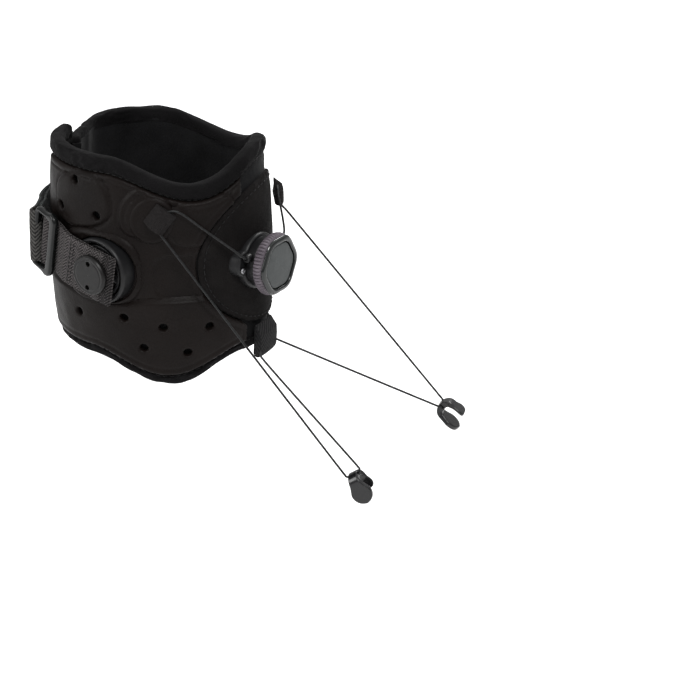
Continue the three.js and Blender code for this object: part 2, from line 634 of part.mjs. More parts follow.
// Each hook hangs on the lace at its eye, with its plate facing a stated way.
function addHook(name, eye, toTip, plateOut) {
  const along = new THREE.Vector3(...toTip).normalize();
  const out = new THREE.Vector3(...plateOut).normalize();
  const axis = new THREE.Vector3().crossVectors(out, along);
  const mesh = add(cuff, name, hook(), gloss);
  mesh.quaternion.setFromRotationMatrix(new THREE.Matrix4().makeBasis(along, axis, out));
  mesh.position.set(...eye);
}

const OUTER_EYE = [101.6, -30, -44.7];
const INNER_EYE = [135.5, 26, -30.5];
const INNER_HOOK_LEAN = rad(38);
addHook("outer_hook", OUTER_EYE, [0.55, 0, -0.835], [0, -1, 0]);
addHook("inner_hook", INNER_EYE, [Math.cos(INNER_HOOK_LEAN), 0, -Math.sin(INNER_HOOK_LEAN)],
  [-Math.sin(INNER_HOOK_LEAN), 0, -Math.cos(INNER_HOOK_LEAN)]);

add(cuff, "lace", laceTube(LACE_RADIUS), laceSkin);

export default cuff;
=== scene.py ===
import math

import bmesh
import bpy
import numpy as np
from mathutils import Matrix, Vector, noise
from mathutils.geometry import delaunay_2d_cdt


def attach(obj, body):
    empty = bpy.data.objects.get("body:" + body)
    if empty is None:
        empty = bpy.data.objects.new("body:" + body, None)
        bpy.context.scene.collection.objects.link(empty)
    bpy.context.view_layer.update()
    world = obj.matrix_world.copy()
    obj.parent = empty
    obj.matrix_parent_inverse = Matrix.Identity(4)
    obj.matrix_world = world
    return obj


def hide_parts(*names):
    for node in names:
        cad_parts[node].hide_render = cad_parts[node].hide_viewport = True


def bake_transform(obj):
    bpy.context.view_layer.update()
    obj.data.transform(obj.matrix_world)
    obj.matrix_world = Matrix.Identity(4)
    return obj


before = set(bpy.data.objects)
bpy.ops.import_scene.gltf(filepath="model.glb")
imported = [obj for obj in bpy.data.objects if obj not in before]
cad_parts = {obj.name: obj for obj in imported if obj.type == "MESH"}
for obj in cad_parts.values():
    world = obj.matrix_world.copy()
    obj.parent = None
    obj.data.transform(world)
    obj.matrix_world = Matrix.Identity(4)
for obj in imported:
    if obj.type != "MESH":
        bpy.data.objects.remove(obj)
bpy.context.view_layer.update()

# ---- Camera ----
# A long lens in front of the outer side of the ankle, turned a little to the front and looking down.
camera_data = bpy.data.cameras.new("camera")
camera_data.lens = 95
camera = bpy.data.objects.new("camera", camera_data)
bpy.context.scene.collection.objects.link(camera)
bpy.context.scene.camera = camera
look_at = Vector((0.0923, 0.0034, 0.0062))
camera_azimuth = math.radians(12)
camera_elevation = math.radians(25)
camera_distance = 0.905
towards_camera = Vector((
    math.sin(camera_azimuth) * math.cos(camera_elevation),
    -math.cos(camera_azimuth) * math.cos(camera_elevation),
    math.sin(camera_elevation),
))
camera.location = look_at + camera_distance * towards_camera
camera.rotation_euler = (-towards_camera).to_track_quat("-Z", "Y").to_euler()

# ---- Lace ----
# One thin steel strand coated in black nylon. It leaves the dial's outer port, runs through the outer
# guide, the outer hook, the front loop, the inner hook and the inner guide, and ends in the inner port.
LACE_DIAMETER = 0.0011
LACE_ROUTE = [Vector(p) for p in (
    # Out of the dial's outer port and straight to the outer guide.
    (0.0515, -0.024, 0.063), (0.0495, -0.0295, 0.064), (0.0445, -0.0325, 0.069), (0.034, -0.0385, 0.0795),
    # Over and back inside the outer guide, then down.
    (0.024, -0.044, 0.0895), (0.020, -0.0455, 0.091), (0.0155, -0.0465, 0.089),
    (0.013, -0.0475, 0.085), (0.014, -0.0475, 0.081), (0.018, -0.047, 0.075),
    # Through the outer hook's eye.
    (0.0975, -0.0305, -0.0455), (0.099, -0.030, -0.046), (0.1005, -0.030, -0.0455),
    (0.1025, -0.030, -0.044), (0.104, -0.030, -0.0425), (0.104, -0.030, -0.0405),
    # Up, across inside the front loop, and down.
    (0.0535, -0.0195, 0.009), (0.0525, -0.0165, 0.0125), (0.0535, -0.013, 0.0145),
    (0.0545, -0.009, 0.015), (0.055, -0.0055, 0.014), (0.056, -0.003, 0.012),
    # Through the inner hook's eye.
    (0.1345, 0.0225, -0.030), (0.1355, 0.0245, -0.0305), (0.1355, 0.0275, -0.0305),
    (0.135, 0.0295, -0.030), (0.134, 0.0305, -0.029),
    # Up and over inside the inner guide.
    (0.059, 0.0145, 0.072), (0.0555, 0.0145, 0.076), (0.0545, 0.015, 0.080), (0.0545, 0.014, 0.084),
    (0.055, 0.011, 0.086), (0.056, 0.008, 0.0855), (0.057, 0.0055, 0.0825),
    # Down to the dial's inner port, and straight in.
    (0.0595, 0.003, 0.073), (0.0605, 0.0015, 0.0665), (0.060, -0.0015, 0.0635), (0.0575, -0.007, 0.063),
)]


def new_material(name):
    material = bpy.data.materials.new(name)
    material.use_nodes = True
    tree = material.node_tree
    return material, tree, tree.nodes["Principled BSDF"]


def node(tree, kind, **settings):
    """A shader node, with its options and the values of its inputs given by name."""
    made = tree.nodes.new(kind)
    for key, value in settings.items():
        if key in made.inputs:
            made.inputs[key].default_value = value
        else:
            setattr(made, key, value)
    return made


def object_point(tree, scale=(1, 1, 1)):
    """The place on the piece, in metres, stretched by a scale."""
    where = node(tree, "ShaderNodeTexCoord")
    stretch = node(tree, "ShaderNodeMapping")
    stretch.inputs["Scale"].default_value = scale
    tree.links.new(where.outputs["Object"], stretch.inputs["Vector"])
    return stretch.outputs["Vector"]


def ramp(tree, source, stops):
    """Turns a value into a colour, from (place, colour) stops."""
    made = node(tree, "ShaderNodeValToRGB")
    elements = made.color_ramp.elements
    while len(elements) < len(stops):
        elements.new(0.5)
    for element, (place, colour) in zip(elements, stops):
        element.position = place
        element.color = (*colour, 1)
    tree.links.new(source, made.inputs["Fac"])
    return made.outputs["Color"]


def spread(tree, source, low, high):
    """Maps a value from 0..1 to low..high."""
    made = node(tree, "ShaderNodeMapRange")
    made.inputs["To Min"].default_value = low
    made.inputs["To Max"].default_value = high
    tree.links.new(source, made.inputs["Value"])
    return made.outputs["Result"]


def bump(tree, shader, height, distance, strength=1.0, after=None):
    made = node(tree, "ShaderNodeBump")
    made.inputs["Distance"].default_value = distance
    made.inputs["Strength"].default_value = strength
    tree.links.new(height, made.inputs["Height"])
    if after:
        tree.links.new(after.outputs["Normal"], made.inputs["Normal"])
    tree.links.new(made.outputs["Normal"], shader.inputs["Normal"])
    return made


def noise_value(tree, scale, detail=3.0, vector=None, roughness=0.5):
    made = node(tree, "ShaderNodeTexNoise", Scale=scale, Detail=detail, Roughness=roughness)
    tree.links.new(vector or object_point(tree), made.inputs["Vector"])
    return made.outputs["Fac"]


def shaded(colour, share):
    """A colour made darker or lighter by a share."""
    return tuple(c * share for c in colour)


def tint(tree, shader, source, *stops):
    """Colours a material by a value, from (place, colour) stops."""
    tree.links.new(ramp(tree, source, stops), shader.inputs["Base Color"])


def roughen(tree, shader, source, low, high):
    """Lets a material's roughness follow a value."""
    tree.links.new(spread(tree, source, low, high), shader.inputs["Roughness"])


def set_inputs(made, **values):
    """Sets a shader's inputs by their names, with _ for each space."""
    for key, value in values.items():
        made.inputs[key.replace("_", " ")].default_value = value


def mottled(name, colours, rough, grain, shine):
    """A material whose colour, roughness and fine relief each follow a noise of their own. Each is given
    by the noise's scale and detail, followed by colour stops, two roughnesses, or height and strength."""
    material, tree, shader = new_material(name)
    tint(tree, shader, noise_value(tree, *colours[:2]), *colours[2:])
    roughen(tree, shader, noise_value(tree, *rough[:2]), *rough[2:])
    set_inputs(shader, Specular_IOR_Level=shine)
    bump(tree, shader, noise_value(tree, *grain[:2]), *grain[2:])
    return material

LACE_COLOURS = ((0.3, (0.003, 0.0031, 0.0032)), (0.7, (0.011, 0.0115, 0.0118)))
lace_data = bpy.data.curves.new("lace", "CURVE")
lace_data.dimensions = "3D"
lace_data.bevel_depth = LACE_DIAMETER / 2
lace_data.bevel_resolution = 4
lace_data.resolution_u = 8
lace_data.use_fill_caps = True
lace_data.materials.append(mottled("coated lace", (900, 3, *LACE_COLOURS), (1500, 3, 0.3, 0.55),
                                   (2500, 3, 0.0001, 0.4), 0.2))
lace_line = lace_data.splines.new("BEZIER")
lace_line.bezier_points.add(len(LACE_ROUTE) - 1)
for i, here in enumerate(LACE_ROUTE):
    before = LACE_ROUTE[max(i - 1, 0)]
    after = LACE_ROUTE[min(i + 1, len(LACE_ROUTE) - 1)]
    way = ((here - before).normalized() + (after - here).normalized()).normalized()
    nearest = min(d for d in ((here - before).length, (after - here).length) if d > 0)
    reach = 0.36 * nearest
    point = lace_line.bezier_points[i]
    point.co = here
    point.handle_left_type = point.handle_right_type = "FREE"
    point.handle_left = here - way * reach
    point.handle_right = here + way * reach
lace = bpy.data.objects.new("lace_strand", lace_data)
bpy.context.scene.collection.objects.link(lace)
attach(lace, "cuff")
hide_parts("lace")

# ---- Shoe hooks ----
# Two injection-moulded hooks of glossy black nylon. Each is a thick plate and a thinner tongue, one
# bent band with the lace's eye through the bend. The shoe's edge lies between plate and tongue.
MM = 0.001


def link_mesh(name, points, faces, material, uvs=None, sharp=35):
    """A mesh object from points in metres, smooth apart from edges sharper than an angle."""
    mesh = bpy.data.meshes.new(name)
    mesh.from_pydata([tuple(p) for p in points], [], faces)
    mesh.validate()
    mesh.update()
    mesh.shade_smooth()
    mesh.set_sharp_from_angle(angle=math.radians(sharp))
    if uvs is not None:
        layer = mesh.uv_layers.new(name="cloth")
        for loop in mesh.loops:
            layer.data[loop.index].uv = uvs[loop.vertex_index]
    if material:
        mesh.materials.append(material)
    made = bpy.data.objects.new(name, mesh)
    bpy.context.scene.collection.objects.link(made)
    return made


def place_piece(piece, body, slot, *stands_for):
    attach(piece, body)
    if stands_for:
        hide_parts(*stands_for)
    return piece


def loft(rings, closed=False):
    """Points and faces of a skin over rings of points, with end caps unless the rings close up."""
    count = len(rings[0])
    points = [p for ring in rings for p in ring]
    faces = []
    steps = len(rings) if closed else len(rings) - 1
    for i in range(steps):
        a = i * count
        b = ((i + 1) % len(rings)) * count
        for j in range(count):
            k = (j + 1) % count
            faces.append((a + j, a + k, b + k, b + j))
    if not closed:
        faces.append(tuple(range(count))[::-1])
        last = (len(rings) - 1) * count
        faces.append(tuple(range(last, last + count)))
    return points, faces


def rounded_section(half_wide, half_thick, edge, per_corner=4):
    """A rectangle with round corners, as (across, out) pairs in order."""
    edge = min(edge, half_wide * 0.98, half_thick * 0.98)
    out = []
    for corner, (sx, sy) in enumerate(((1, 1), (-1, 1), (-1, -1), (1, -1))):
        for k in range(per_corner + 1):
            turn = math.radians(90 * corner + 90 * k / per_corner)
            out.append((
                sx * (half_wide - edge) + edge * math.cos(turn),
                sy * (half_thick - edge) + edge * math.sin(turn),
            ))
    return out


def frame_at(origin, toward_x, toward_z):
    """A placing matrix from an origin in millimetres and the directions of its x and z axes."""
    z = Vector(toward_z).normalized()
    x = Vector(toward_x).normalized()
    y = z.cross(x)
    made = Matrix((x, y, z)).transposed().to_4x4()
    made.translation = Vector(origin)
    return made


def to_metres(matrix, points):
    return [(matrix @ Vector(p)) * MM for p in points]


def gloss_plastic(name, colour, rough=(0.12, 0.3), scratch=0.15, shine=0.42):
    return mottled(name, (120, 3, (0.35, shaded(colour, 0.8)), (0.7, colour)), (260, 5, *rough),
                   (1400, 2, 0.00005, scratch), shine)


hook_plastic = gloss_plastic("hook nylon", (0.005, 0.005, 0.0055), (0.14, 0.32), shine=0.35)
HOOK_GAP, HOOK_LENGTH = 6.0, 14.0
HOOK_PLATE, HOOK_TONGUE = 2.6, 1.7
EYE_RADIUS = 0.85
PLATE_RADIUS = 5.4


def hook_rings():
    """Sections of the band from the plate's tip, round the eye, to the tongue's tip."""
    plate_z = HOOK_GAP / 2 + HOOK_PLATE / 2
    tongue_z = -HOOK_GAP / 2 - HOOK_TONGUE / 2
    tip = HOOK_LENGTH
    stations = []
    for x in (tip, tip - 0.25, tip - 0.9, tip - 2, tip - 3.4, tip - 5, 7.5, 6, 4.8):
        reach = math.sqrt(max(0.0, PLATE_RADIUS ** 2 - max(0.0, x - (tip - PLATE_RADIUS - 0.05)) ** 2))
        neck = 3.2 + 2.1 * (x - 3) / 4
        stations.append((x, plate_z, 180, 2 * (reach if x > 7 else neck),
                         HOOK_PLATE * (0.8 if x > tip - 0.3 else 1)))
    bend = 9
    for i in range(bend + 1):
        turn = math.radians(90 + 180 * i / bend)
        thick = 3.9 - 0.9 * abs(math.cos(turn + math.pi / 2)) if 0 < i < bend else 3.0
        x = 2.7 + 2.9 * math.cos(turn)
        z = 0.2 + (4.0 if turn < math.pi else 3.95) * math.sin(turn)
        stations.append((x, z, math.degrees(turn) + 90, 5.2 + 1.2 * abs(math.sin(turn)) ** 4, thick))
    for x, wide in ((4.6, 7.2), (6.2, 8.6), (8, 9.2), (9.4, 8.6), (10.3, 7.2), (10.8, 5.0)):
        stations.append((x, tongue_z - 0.5 * math.sin(math.pi * (x - 4) / 7), 0, wide, HOOK_TONGUE * 0.95))
    rings = []
    for x, z, heading, wide, thick in stations:
        turn = math.radians(heading)
        out = Vector((math.sin(turn), 0, -math.cos(turn)))
        section = rounded_section(wide / 2, thick / 2, 0.75)
        rings.append([Vector((x, 0, z)) + Vector((0, a, 0)) + out * b for a, b in section])
    return rings


def cut_away(piece, cutter):
    """Cuts one mesh out of another and keeps only the result."""
    modifier = piece.modifiers.new("cut", "BOOLEAN")
    modifier.object = cutter
    modifier.operation = "DIFFERENCE"
    modifier.solver = "EXACT"
    apply_modifiers(piece)
    bpy.data.objects.remove(cutter)


def apply_modifiers(piece):
    bpy.context.view_layer.update()
    graph = bpy.context.evaluated_depsgraph_get()
    finished = bpy.data.meshes.new_from_object(piece.evaluated_get(graph))
    piece.modifiers.clear()
    piece.data = finished


def pegs(name, places, radius, length, sides=20):
    """Plain round cutters, one at each (centre, direction), joined in one mesh."""
    points, faces = [], []
    for centre, way in places:
        turn = Vector(way).to_track_quat("Z", "Y")
        rings = []
        for end in (-0.5, 0.5):
            rings.append([Vector(centre) + turn @ Vector((
                radius * math.cos(2 * math.pi * k / sides), radius * math.sin(2 * math.pi * k / sides),
                end * length)) for k in range(sides)])
        more, sides_of = loft(rings)
        faces += [tuple(i + len(points) for i in face) for face in sides_of]
        points += more
    return link_mesh(name, points, faces, None)


def make_hook(name, eye, toward_tip, plate_out):
    matrix = frame_at(eye, toward_tip, plate_out)
    points, faces = loft(hook_rings())
    made = link_mesh(name, to_metres(matrix, points), faces, hook_plastic, sharp=60)
    smooth = made.modifiers.new("smooth", "SUBSURF")
    smooth.levels = smooth.render_levels = 2
    apply_modifiers(made)
    axis = matrix.to_3x3() @ Vector((0, 1, 0))
    cut_away(made, pegs("eye_cutter", [(Vector(eye) * MM, axis)], EYE_RADIUS * MM, 14 * MM))
    made.data.set_sharp_from_angle(angle=math.radians(50))
    return made


INNER_LEAN = math.radians(38)
outer_hook = make_hook("outer_shoe_hook", (101.6, -30, -44.7), (0.55, 0, -0.835), (0, -1, 0))
place_piece(outer_hook, "outer_hook", "gloss_plastic", "outer_hook")
inner_hook = make_hook("inner_shoe_hook", (135.5, 26, -30.5),
                       (math.cos(INNER_LEAN), 0, -math.sin(INNER_LEAN)),
                       (-math.sin(INNER_LEAN), 0, -math.cos(INNER_LEAN)))
place_piece(inner_hook, "inner_hook", "gloss_plastic", "inner_hook")
tuple(LACE_ROUTE[0])

# ---- Pad ----
# A band of foam covered in black knit, wrapped round the leg. Its inner flap slips under the outer
# flap behind the leg. The knit is glued to the foam and the edges are bound.
HALF_LENGTH = 52.0
HALF_WIDTH = 44.0
MID_HEIGHT = 58.0
WAIST = 2.6
PAD_FROM, PAD_TO = -100, 292
PAD_THICKNESS = 4.6
GAP = 0.35


def on_cuff(turn, z, out):
    """A point in millimetres, a distance out from the cuff's surface at a turn round the leg."""
    s = math.sin(math.radians(turn))
    c = math.cos(math.radians(turn))
    away = Vector((HALF_WIDTH * s, -HALF_LENGTH * c, 0)).normalized()
    slim = WAIST * ((z - MID_HEIGHT) / 55) ** 2
    return Vector((HALF_LENGTH * s, -HALF_WIDTH * c, z)) + away * (out - slim)


def hump(turn, at, reach):
    return math.cos(min(1, abs(turn - at) / reach) * math.pi / 2) ** 2


def ease(value, low, high):
    x = min(1, max(0, (value - low) / (high - low)))
    return x * x * (3 - 2 * x)


def rim_top(turn):
    return 113 - 12 * hump(turn, 34, 50) - 9 * hump(turn, 146, 50)


def rim_bottom(turn):
    return 12 - 12 * (hump(turn, 16, 44) + hump(turn, 164, 44))


FLAP_FROM, FLAP_TO, FLAP_DEPTH = 225, 262, 8.2


def tuck(turn):
    """How far the inner flap is sunk under the outer flap."""
    return -FLAP_DEPTH * ease(turn, FLAP_FROM, FLAP_TO)


def wobble(place, scale, size, seed=0.0):
    """Smooth unevenness, the same every time: a value within plus or minus size."""
    return size * noise.noise(Vector(place) * scale + Vector((seed, seed * 0.7, -seed)))


def knit_fabric(name, colour, pitch=0.0009, sheen=0.03):
    """A fine knit: rows of small loops, a soft nap and slight fading."""
    material, tree, shader = new_material(name)
    uv = node(tree, "ShaderNodeUVMap", uv_map="cloth")
    fine = node(tree, "ShaderNodeMapping")
    fine.inputs["Scale"].default_value = (1 / pitch, 1 / pitch, 1)
    tree.links.new(uv.outputs["UV"], fine.inputs["Vector"])
    loops = node(tree, "ShaderNodeTexVoronoi", Scale=1.0, Randomness=0.35)
    tree.links.new(fine.outputs["Vector"], loops.inputs["Vector"])
    tint(tree, shader, noise_value(tree, 60, 4), (0.3, shaded(colour, 0.6)), (0.75, shaded(colour, 1.5)))
    roughen(tree, shader, noise_value(tree, 400, 3), 0.75, 0.98)
    set_inputs(shader, Sheen_Weight=sheen, Sheen_Roughness=0.4, Specular_IOR_Level=0.05)
    creases = bump(tree, shader, noise_value(tree, 90, 3), 0.0012, 0.35)
    bump(tree, shader, loops.outputs["Distance"], 0.0003, 0.5, after=creases)
    return material


pad_knit = knit_fabric("pad knit", (0.0055, 0.0055, 0.0058))
binding_knit = knit_fabric("binding knit", (0.0034, 0.0032, 0.0034), pitch=0.0007, sheen=0.02)
ARC = 0.87


def pad_ring(turn):
    low = rim_bottom(turn) + 4
    high = rim_top(turn) - 5
    outer = tuck(turn) - GAP
    inner = outer - PAD_THICKNESS
    rows = 26
    ring = []
    for i in range(rows + 1):
        z = low + (high - low) * i / rows
        ring.append(on_cuff(turn, z, outer + wobble((turn * ARC, z, 0), 0.05, 0.25)))
    for i in range(rows + 1):
        z = high - (high - low) * i / rows
        puff = 0.7 * math.sin(math.pi * i / rows) + wobble((turn * ARC, z, 9), 0.07, 0.5)
        ring.append(on_cuff(turn, z, inner + 0.4 - puff))
    return ring


pad_turns = [PAD_FROM + 2 * i for i in range((PAD_TO - PAD_FROM) // 2 + 1)]
pad_rings = [pad_ring(turn) for turn in pad_turns]
points, faces = loft(pad_rings)
pad_uvs = [(turn * ARC * MM, p.z * MM) for turn, ring in zip(pad_turns, pad_rings) for p in ring]
pad = link_mesh("foam_pad", [p * MM for p in points], faces, pad_knit, pad_uvs, sharp=70)
place_piece(pad, "cuff", "pad_fabric", "inner_pad")

# ---- Bindings ----
# The pad's top edge is a soft collar: knit rolled over a foam core and sewn down. The bottom edge is
# a flatter band of the same knit, folded over the edge and sewn through.
EDGE_SIDES = 28
EDGE_STEP = 1.5
COLLAR_LEAST_TALL = 3.2


def edge_ring(turn, height, out, half_tall, half_thick, pinch):
    ring = []
    for k in range(EDGE_SIDES):
        a = 2 * math.pi * k / EDGE_SIDES
        tall = math.sin(a)
        flat = abs(math.cos(a)) ** 0.62 * math.copysign(1, math.cos(a))
        z = height + half_tall * abs(tall) ** 0.86 * math.copysign(1, tall)
        loose = 0.3 * noise.noise(Vector((turn * 0.11, 3 * math.cos(a), 3 * tall + half_tall)))
        squeeze = 1 - pinch * max(0, -tall if half_tall > COLLAR_LEAST_TALL else tall) ** 3
        ring.append(on_cuff(turn, z + 0.5 * loose, out + (half_thick * squeeze + loose) * flat))
    return ring


def settle_as_cloth(piece, sewn, most):
    """Lets knit over foam swell and pucker as cloth. The sewn points are held, and no point moves
    further than a stated distance."""
    frames = 20
    at_rest = np.array([v.co for v in piece.data.vertices])
    piece.vertex_groups.new(name="sewn").add(sewn, 1.0, "ADD")
    cloth = piece.modifiers.new("cloth", "CLOTH")
    knit = cloth.settings
    knit.quality = 5
    knit.mass = 0.1
    knit.use_pressure = True
    knit.uniform_pressure_force = 4
    knit.effector_weights.gravity = 0
    knit.vertex_group_mass = "sewn"
    knit.shrink_min = -0.05
    cloth.point_cache.frame_end = frames
    for frame_number in range(1, frames + 1):
        bpy.context.scene.frame_set(frame_number)
    settled = piece.evaluated_get(bpy.context.evaluated_depsgraph_get()).to_mesh()
    moved = np.array([v.co for v in settled.vertices]) - at_rest
    far = np.linalg.norm(moved, axis=1)
    moved *= np.minimum(1, most / np.maximum(far, 1e-9))[:, None]
    piece.modifiers.clear()
    piece.vertex_groups.clear()
    for vertex, place in zip(piece.data.vertices, at_rest + moved):
        vertex.co = place
    bpy.context.scene.frame_set(1)
    finer = piece.modifiers.new("finer", "SUBSURF")
    finer.levels = finer.render_levels = 1
    apply_modifiers(piece)


def edge_piece(name, height, out, half_tall, half_thick, pinch, stands_for):
    count = int((PAD_TO - PAD_FROM + 0.6) / EDGE_STEP) + 1
    turns = [PAD_FROM - 0.3 + EDGE_STEP * i for i in range(count)]
    rings = []
    for turn in turns:
        end = min(turn - turns[0], turns[-1] - turn)
        grow = math.sqrt(min(1, (end + 0.4) / 4))
        slim = 1 - 0.28 * ease(turn, FLAP_FROM, FLAP_TO)
        rings.append(edge_ring(turn, height(turn), out + tuck(turn), half_tall * slim * grow,
                               half_thick * slim * grow, pinch))
    points, faces = loft(rings)
    around = 2 * math.pi * half_tall / EDGE_SIDES
    sides = range(EDGE_SIDES)
    uvs = [(turn * ARC * MM, k * around * MM) for turn in turns for k in sides]
    made = link_mesh(name, [p * MM for p in points], faces, binding_knit, uvs, sharp=80)
    sewn_way = 1 if half_tall < COLLAR_LEAST_TALL else -1
    seam = [k for k in sides if math.sin(2 * math.pi * k / EDGE_SIDES) * sewn_way > 0.6]
    last = EDGE_SIDES * (len(turns) - 1)
    sewn = {EDGE_SIDES * row + k for row in range(len(turns)) for k in seam}
    sewn.update(sides, (last + k for k in sides))
    settle_as_cloth(made, sorted(sewn), 0.7 * MM)
    place_piece(made, "cuff", "binding_fabric", stands_for)


edge_piece("top_collar", lambda turn: rim_top(turn) - 4.2, -2.1, 4.3, 3.5, 0.22, "top_binding")
edge_piece("bottom_band", lambda turn: rim_bottom(turn) + 3.0, -2.1, 3.0, 3.6, 0.15, "bottom_binding")

# ---- Moulded shells ----
# Both side shells are pressed from a foam sheet with a dull skin. The press leaves raised fields,
# a sunk arm that leads to the front, and fine grooves. Round vents are punched through.
SHELL_THICKNESS = 2.4
SHELL_FROM, SHELL_TO = -70, 62
PATCH_TURN, PATCH_Z, PATCH_RX, PATCH_RZ, PATCH_ARC = 88, 60, 44, 36, 0.80
SHELL_LOW_EDGE, SHELL_HIGH_EDGE = 6.2, 8.0
VENT_RADIUS = 1.9
VENTS = [(-33, 100), (-45, 85), (-19, 85), (-34, 34), (-6, 36), (14, 32), (38, 31), (3.5, 21), (26, 18.5)]


def level(height):
    """The same height at every place."""
    return lambda places: np.full(len(places), float(height))


def depth_inside(places, outline):
    """How far each place lies inside a closed outline; negative outside."""
    p = np.asarray(places, float)[:, None, :]
    a = np.asarray(outline, float)[None]
    b = np.roll(a, -1, axis=1)
    along = np.clip(((p - a) * (b - a)).sum(2) / np.maximum(((b - a) ** 2).sum(2), 1e-9), 0, 1)
    distance = np.sqrt((((a + along[..., None] * (b - a)) - p) ** 2).sum(2)).min(1)
    crosses = (a[..., 1] > p[..., 1]) != (b[..., 1] > p[..., 1])
    rise = np.where(b[..., 1] == a[..., 1], 1e-9, b[..., 1] - a[..., 1])
    at = a[..., 0] + (p[..., 1] - a[..., 1]) * (b[..., 0] - a[..., 0]) / rise
    inside = (crosses & (p[..., 0] < at)).sum(1) % 2 == 1
    return np.where(inside, distance, -distance)


def step(depth, width):
    """0 outside an outline, 1 inside, with a slope of a stated width centred on it."""
    x = np.clip(depth / width + 0.5, 0, 1)
    return x * x * (3 - 2 * x)


def line_of(depth, width):
    """1 on an outline, falling to 0 at half a width either side."""
    return np.clip(1 - np.abs(depth) / (width / 2), 0, 1) ** 0.7


def oval_outline(rx, ry, count=72, power=2.0, centre=(0, 0), lean=0.0):
    """A closed oval, squarer with a higher power, leaning by an angle in degrees."""
    made = []
    turned = math.radians(lean)
    for k in range(count):
        a = 2 * math.pi * k / count
        x = rx * math.copysign(abs(math.cos(a)) ** (2 / power), math.cos(a))
        y = ry * math.copysign(abs(math.sin(a)) ** (2 / power), math.sin(a))
        made.append((centre[0] + x * math.cos(turned) - y * math.sin(turned),
                     centre[1] + x * math.sin(turned) + y * math.cos(turned)))
    return made


def ledge_height(turn):
    """Top edge of the raised lower field: level at the side, then falling away to the front."""
    return LEDGE_HIGH - LEDGE_DIP * hump(turn, PIVOT_TURN, 30) - LEDGE_FALL * ease(turn, 34, 70)


def pressed_oval(turn, z, rx, ry, lean=0.0, power=2.0):
    return oval_outline(rx, ry, 60, power, (turn * ARC, z), lean)


PIVOT_TURN, PIVOT_Z, PIVOT_TILT, PIVOT_REARWARD = -16.5, 59.0, 12.0, 9.0
LEDGE_HIGH, LEDGE_DIP, LEDGE_FALL = 45.0, 3.0, 21.0
BACK_FIELD = pressed_oval(-31, 90.4, 17, 12.4, lean=12, power=2.6)
GUIDE_FIELD = pressed_oval(6, 89, 9.5, 13, lean=-35)
ARM_FIELD = pressed_oval(26, 57, 13.5, 10.5, power=5)
SPRING_FIELD = pressed_oval(37, 84, 17, 11, lean=14, power=2.4)


def shell_relief(places):
    """How far the pressed skin stands out at each place, in millimetres."""
    back = depth_inside(places, BACK_FIELD)
    guide = depth_inside(places, GUIDE_FIELD)
    arm = depth_inside(places, ARM_FIELD)
    spring = depth_inside(places, SPRING_FIELD)
    lower = np.array([ledge_height(u / ARC) - z for u, z in places])
    border = depth_inside(places, shell_outline())
    height = 1.1 * step(back, 1.8) - 0.6 * line_of(back + 1.2, 1.8) - 0.5 * line_of(border - 3.2, 1.5)
    height += 1.0 * step(guide, 1.6) - 0.6 * line_of(guide - 2.6, 1.6) - 0.5 * line_of(guide + 1, 1.6)
    height += 1.5 * step(lower, 1.4) - 0.6 * line_of(lower + 1.4, 1.8)
    height -= 1.2 * step(arm, 1.4)
    height += 1.1 * step(spring, 1.8) - 0.5 * line_of(spring + 1.2, 1.6)
    ripple = [wobble((u, z, 0), 0.06, 0.35, 3.1) + wobble((u, z, 0), 0.2, 0.1, 7.7) for u, z in places]
    return height + np.array(ripple)


